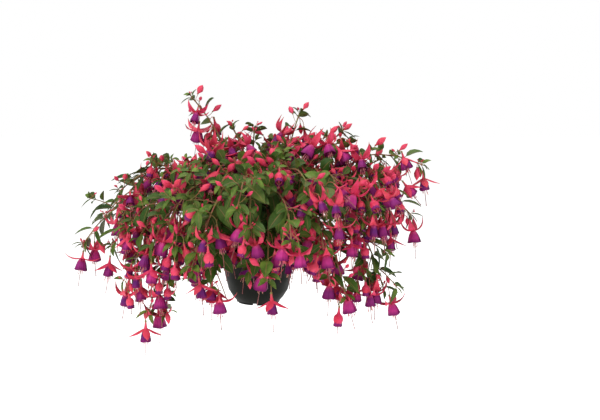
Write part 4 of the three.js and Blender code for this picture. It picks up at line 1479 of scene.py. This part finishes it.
STAMENS = 8
FILAMENT_RADIUS = 0.42
FILAMENT_STATIONS = 3
STYLE_RADIUS = 0.64
STYLE_STATIONS = 8
STYLE_BOW = 5.5
STYLE_START = 6
STYLE_END = COROLLA_LENGTH + STYLE_LENGTH - 1.5
ANTHER_SIZE = (2.8, 1.6)
STIGMA_SIZE = (3.2, 2.0)
THREAD_RED = (0.62, 0.06, 0.16)
THREAD_PINK = (0.8, 0.26, 0.3)
STYLE_BROWN = (0.13, 0.045, 0.04)
STYLE_RED = (0.34, 0.1, 0.1)
ANTHER_RED = (0.3, 0.09, 0.08)
POLLEN = (0.62, 0.42, 0.24)

# a bursting bloom's threads are still short
reach_out = np.where(blooms["lift"] < BURSTING, 0.62, 1.0)


def filament_paths():
    """Stamens from deep in the skirt to past its hem, each bowed out by the square of its share."""
    rng = np.random.default_rng(41)
    each = (bloom_count, STAMENS, 1)
    share = np.linspace(0, 1, FILAMENT_STATIONS)
    angle = 2 * np.pi * np.arange(STAMENS)[:, None] / STAMENS + rng.uniform(-0.3, 0.3, each)
    out = rng.uniform(2.2, 5.2, each)
    length = rng.uniform(20, 29, each) * reach_out[:, None, None]
    radius = 1.2 + out * share**2
    return bloom_spot(blooms, angle, radius, TUBE_LENGTH + 4 + length * share)


thread_material, tree, shader = new_material("pink_threads", (0.7, 0.1, 0.2), 0.45)
pinks, _ = mottle(tree, THREAD_RED, THREAD_PINK, 160)
tree.links.new(pinks, shader.inputs["Base Color"])
filament_lines = filament_paths().reshape(-1, FILAMENT_STATIONS, 3)
across_bloom = np.repeat(blooms["across"], STAMENS, 0)
filament_rings = tube_rings(filament_lines, across_bloom, FILAMENT_RADIUS, THREAD_SIDES)
filaments = from_rings("filaments", filament_rings, thread_material)

# styles bow to either side: out by the square of the share of their length, less a part of it
style_share = np.linspace(0, 1, STYLE_STATIONS)
style_bow = np.random.default_rng(43).uniform(-1, 1, (bloom_count, 1)) * STYLE_BOW
style_lines = bloom_spot(
    blooms,
    0,
    style_bow * (style_share**2 - 0.35 * style_share),
    TUBE_LENGTH + STYLE_START + (STYLE_END - STYLE_START) * style_share * reach_out[:, None],
)
style_material, tree, shader = new_material("dusky_style", (0.2, 0.06, 0.06), 0.5)
dusky, _ = mottle(tree, STYLE_BROWN, STYLE_RED, 120)
tree.links.new(dusky, shader.inputs["Base Color"])
style_rings = tube_rings(style_lines, blooms["across"], STYLE_RADIUS, THREAD_SIDES)
styles = from_rings("styles", style_rings, style_material)


def beads(lines, sides, length, girth, stations):
    """Small closed ovals at the ends of lines: a half circle's profile carried on the same way."""
    ways = unit(lines[:, -1] - lines[:, -2])
    turn = np.linspace(0.3, np.pi - 0.3, stations)
    line = lines[:, -1, None, :] - ways[:, None, :] * (np.cos(turn)[:, None] * length / 2)
    return tube_rings(line, sides, np.sin(turn) * girth / 2, THREAD_SIDES)


anther_material, tree, shader = new_material("anther_brown", (0.35, 0.2, 0.12), 0.8)
pollen, _ = mottle(tree, ANTHER_RED, POLLEN, 900, 3)
tree.links.new(pollen, shader.inputs["Base Color"])
anther_rings = beads(filament_lines, across_bloom, *ANTHER_SIZE, stations=3)
anthers = from_rings("anthers", anther_rings, anther_material)
stigma_rings = beads(style_lines, blooms["across"], *STIGMA_SIZE, stations=4)
stigmas = from_rings("stigmas", stigma_rings, style_material)
for piece in (filaments, styles, anthers, stigmas):
    stand_for(piece, "corolla", *stem_nodes)

# ---------------------------------------------------------------------------- buds
# Closed coral-red buds, fat ovals that narrow to a point, each on its own thin stalk: the
# youngest stand up near the tips of the stems and the older ones hang.

BUD_STALK_RADIUS = 0.5
BUD_FULLNESS = 1.1
BUD_SIDES = 8

# radius, as a share of a bud's greatest, at shares of its length, from its small ovary to its point
BUD_LINE = [(0.1, -0.12), (0.32, -0.06), (0.24, 0.02), (0.56, 0.18), (0.98, 0.42)]
BUD_LINE += [(0.84, 0.66), (0.36, 0.88), (0.04, 1.0)]


def bud_rings():
    """The profile carried round each bud's own straight axis."""
    radius, share = np.array(BUD_LINE, float).T
    length = buds["length"][:, None, None]
    path = buds["neck"][:, None, :] + buds["way"][:, None, :] * (length * share[:, None])
    girth = buds["length"][:, None] * BUD_GIRTH * BUD_FULLNESS * radius
    return tube_rings(path, buds["across"], girth, BUD_SIDES)


bud_tint = np.random.default_rng(51).random(len(buds["length"]))
bud_bodies = from_rings(
    "buds",
    bud_rings(),
    red_material,
    across=np.arange(BUD_SIDES) / BUD_SIDES,
    tint=bud_tint[:, None, None],
    green=np.interp([share for _, share in BUD_LINE], (-0.05, 0.03), (0.8, 0))[:, None],
)
bud_paths = swing_path(buds["point"], buds["middle"], buds["neck"], 4)
bud_stalks = tube_rings(bud_paths, buds["across"], BUD_STALK_RADIUS, THREAD_SIDES)
bud_stems = from_rings("bud_stalks", bud_stalks, stalk_material)
stand_for(bud_bodies, "sepal", *stem_nodes)
stand_for(bud_stems, "leafy_stem", *stem_nodes)

# ---------------------------------------------------------------------------- leaves
# Oval pointed leaves in pairs along every stem, folded a little along the midrib and drooping
# to the tip, each on a short stalk. The lowest ones crowd over the compost and the pot's rim.

LEAF_HALF_WIDTH = 0.26
LEAF_PEAK = 0.334  # the greatest value of the curve that gives its half width
LEAF_FOLD = 0.3
LEAF_THICKNESS = 0.35
LEAF_STALK = 0.13
LEAF_STATIONS = np.array((0.0, LEAF_STALK, 0.24, 0.42, 0.62, 0.82, 1.0))
LEAST_HALF_WIDTHS = (0.016, 0.018, 0, 0, 0, 0, 0.006)

# across a leaf: over its face from one edge to the other, and back underneath
LEAF_ACROSS = np.array((1, 0.5, 0, -0.5, -1, -0.5, 0, 0.5))
LEAF_UNDER = np.array((0, 0, 0, 0, 0, 1, 1, 1))

OLD_GREEN = (0.011, 0.045, 0.0035)
YOUNG_GREEN = (0.21, 0.33, 0.05)
BRONZE = (0.18, 0.09, 0.03)
PATCH_GREEN = (0.02, 0.062, 0.005)
VEIN_GREEN = (0.09, 0.16, 0.035)
RIB_RED = (0.26, 0.14, 0.06)
UNDER_GREEN = (0.13, 0.16, 0.05)
VEINS_ALONG = 46
VEIN_SLANT = 14
VEIN_FINENESS = 12


def leaf_rings():
    """Pointed oval blades: beyond the stalk the half width is a product of powers of the shares
    gone and still to go, largest before half way, and the edges rise by a power of the way across."""
    centre, across, face = leaf_frames(leaves, LEAF_STATIONS)
    blade = np.clip((LEAF_STATIONS - LEAF_STALK) / (1 - LEAF_STALK), 0, 1)
    half = LEAF_HALF_WIDTH * blade**0.7 * (1 - blade) ** 0.9 / LEAF_PEAK
    half = np.maximum(half, LEAST_HALF_WIDTHS)[:, None]
    length = leaves["length"][:, None, None]
    half = half * np.interp(length, (16, 32), (0.68, 1))
    wide = half * LEAF_ACROSS * length
    raised = (LEAF_FOLD * half * np.abs(LEAF_ACROSS) ** 1.5) * length - LEAF_THICKNESS * LEAF_UNDER
    return blade_rings(centre, across, face, wide, raised)


leaf_material, tree, shader = new_material("fuchsia_leaf", (0.05, 0.12, 0.03), 0.45, 0.18)
greens = mix(tree, mark(tree, "tint"), OLD_GREEN, YOUNG_GREEN)
tinted = mix(tree, maths(tree, "MULTIPLY", mark(tree, "bronze"), 0.3), greens, BRONZE)
patched, patch = mottle(tree, tinted, PATCH_GREEN, 60, 2)
from_rib = maths(tree, "ABSOLUTE", mark(tree, "across"))
forward = maths(tree, "MULTIPLY", mark(tree, "along"), VEINS_ALONG)
slant = maths(tree, "SUBTRACT", forward, maths(tree, "MULTIPLY", from_rib, VEIN_SLANT))
veins = maths(tree, "POWER", maths(tree, "ABSOLUTE", maths(tree, "SINE", slant)), VEIN_FINENESS)
veiny = mix(tree, maths(tree, "MULTIPLY", veins, 0.3), patched, VEIN_GREEN)
rib = between(tree, from_rib, 0.12, 0.0)
ribbed = mix(tree, maths(tree, "MULTIPLY", rib, 0.6), veiny, RIB_RED)
under = mix(tree, maths(tree, "MULTIPLY", mark(tree, "under"), 0.6), ribbed, UNDER_GREEN)
tree.links.new(under, shader.inputs["Base Color"])
tree.links.new(maths(tree, "MULTIPLY_ADD", patch, 0.15, 0.38), shader.inputs["Roughness"])
bump(tree, shader, maths(tree, "MULTIPLY", maths(tree, "ADD", veins, rib), -1), 0.35, 0.0006)

leaf_length = leaves["length"]
leaf_tint = np.random.default_rng(61).random(len(leaf_length)) ** 1.6
leaf_tint = np.clip(leaf_tint * 0.75 + np.interp(leaf_length, (14, 30), (0.6, 0)), 0, 1)
leaf_bronze = np.random.default_rng(62).random(len(leaf_length)) ** 3
leaf_shapes = leaf_rings()
grown_up = leaf_length > np.median(leaf_length)
for name, chosen in (("leaves", grown_up), ("young_leaves", ~grown_up)):
    blades = from_rings(
        name,
        leaf_shapes[chosen],
        leaf_material,
        along=LEAF_STATIONS[:, None],
        across=LEAF_ACROSS,
        under=LEAF_UNDER,
        tint=leaf_tint[chosen][:, None, None],
        bronze=leaf_bronze[chosen][:, None, None],
    )
    stand_for(blades, "leaf", *stem_nodes)
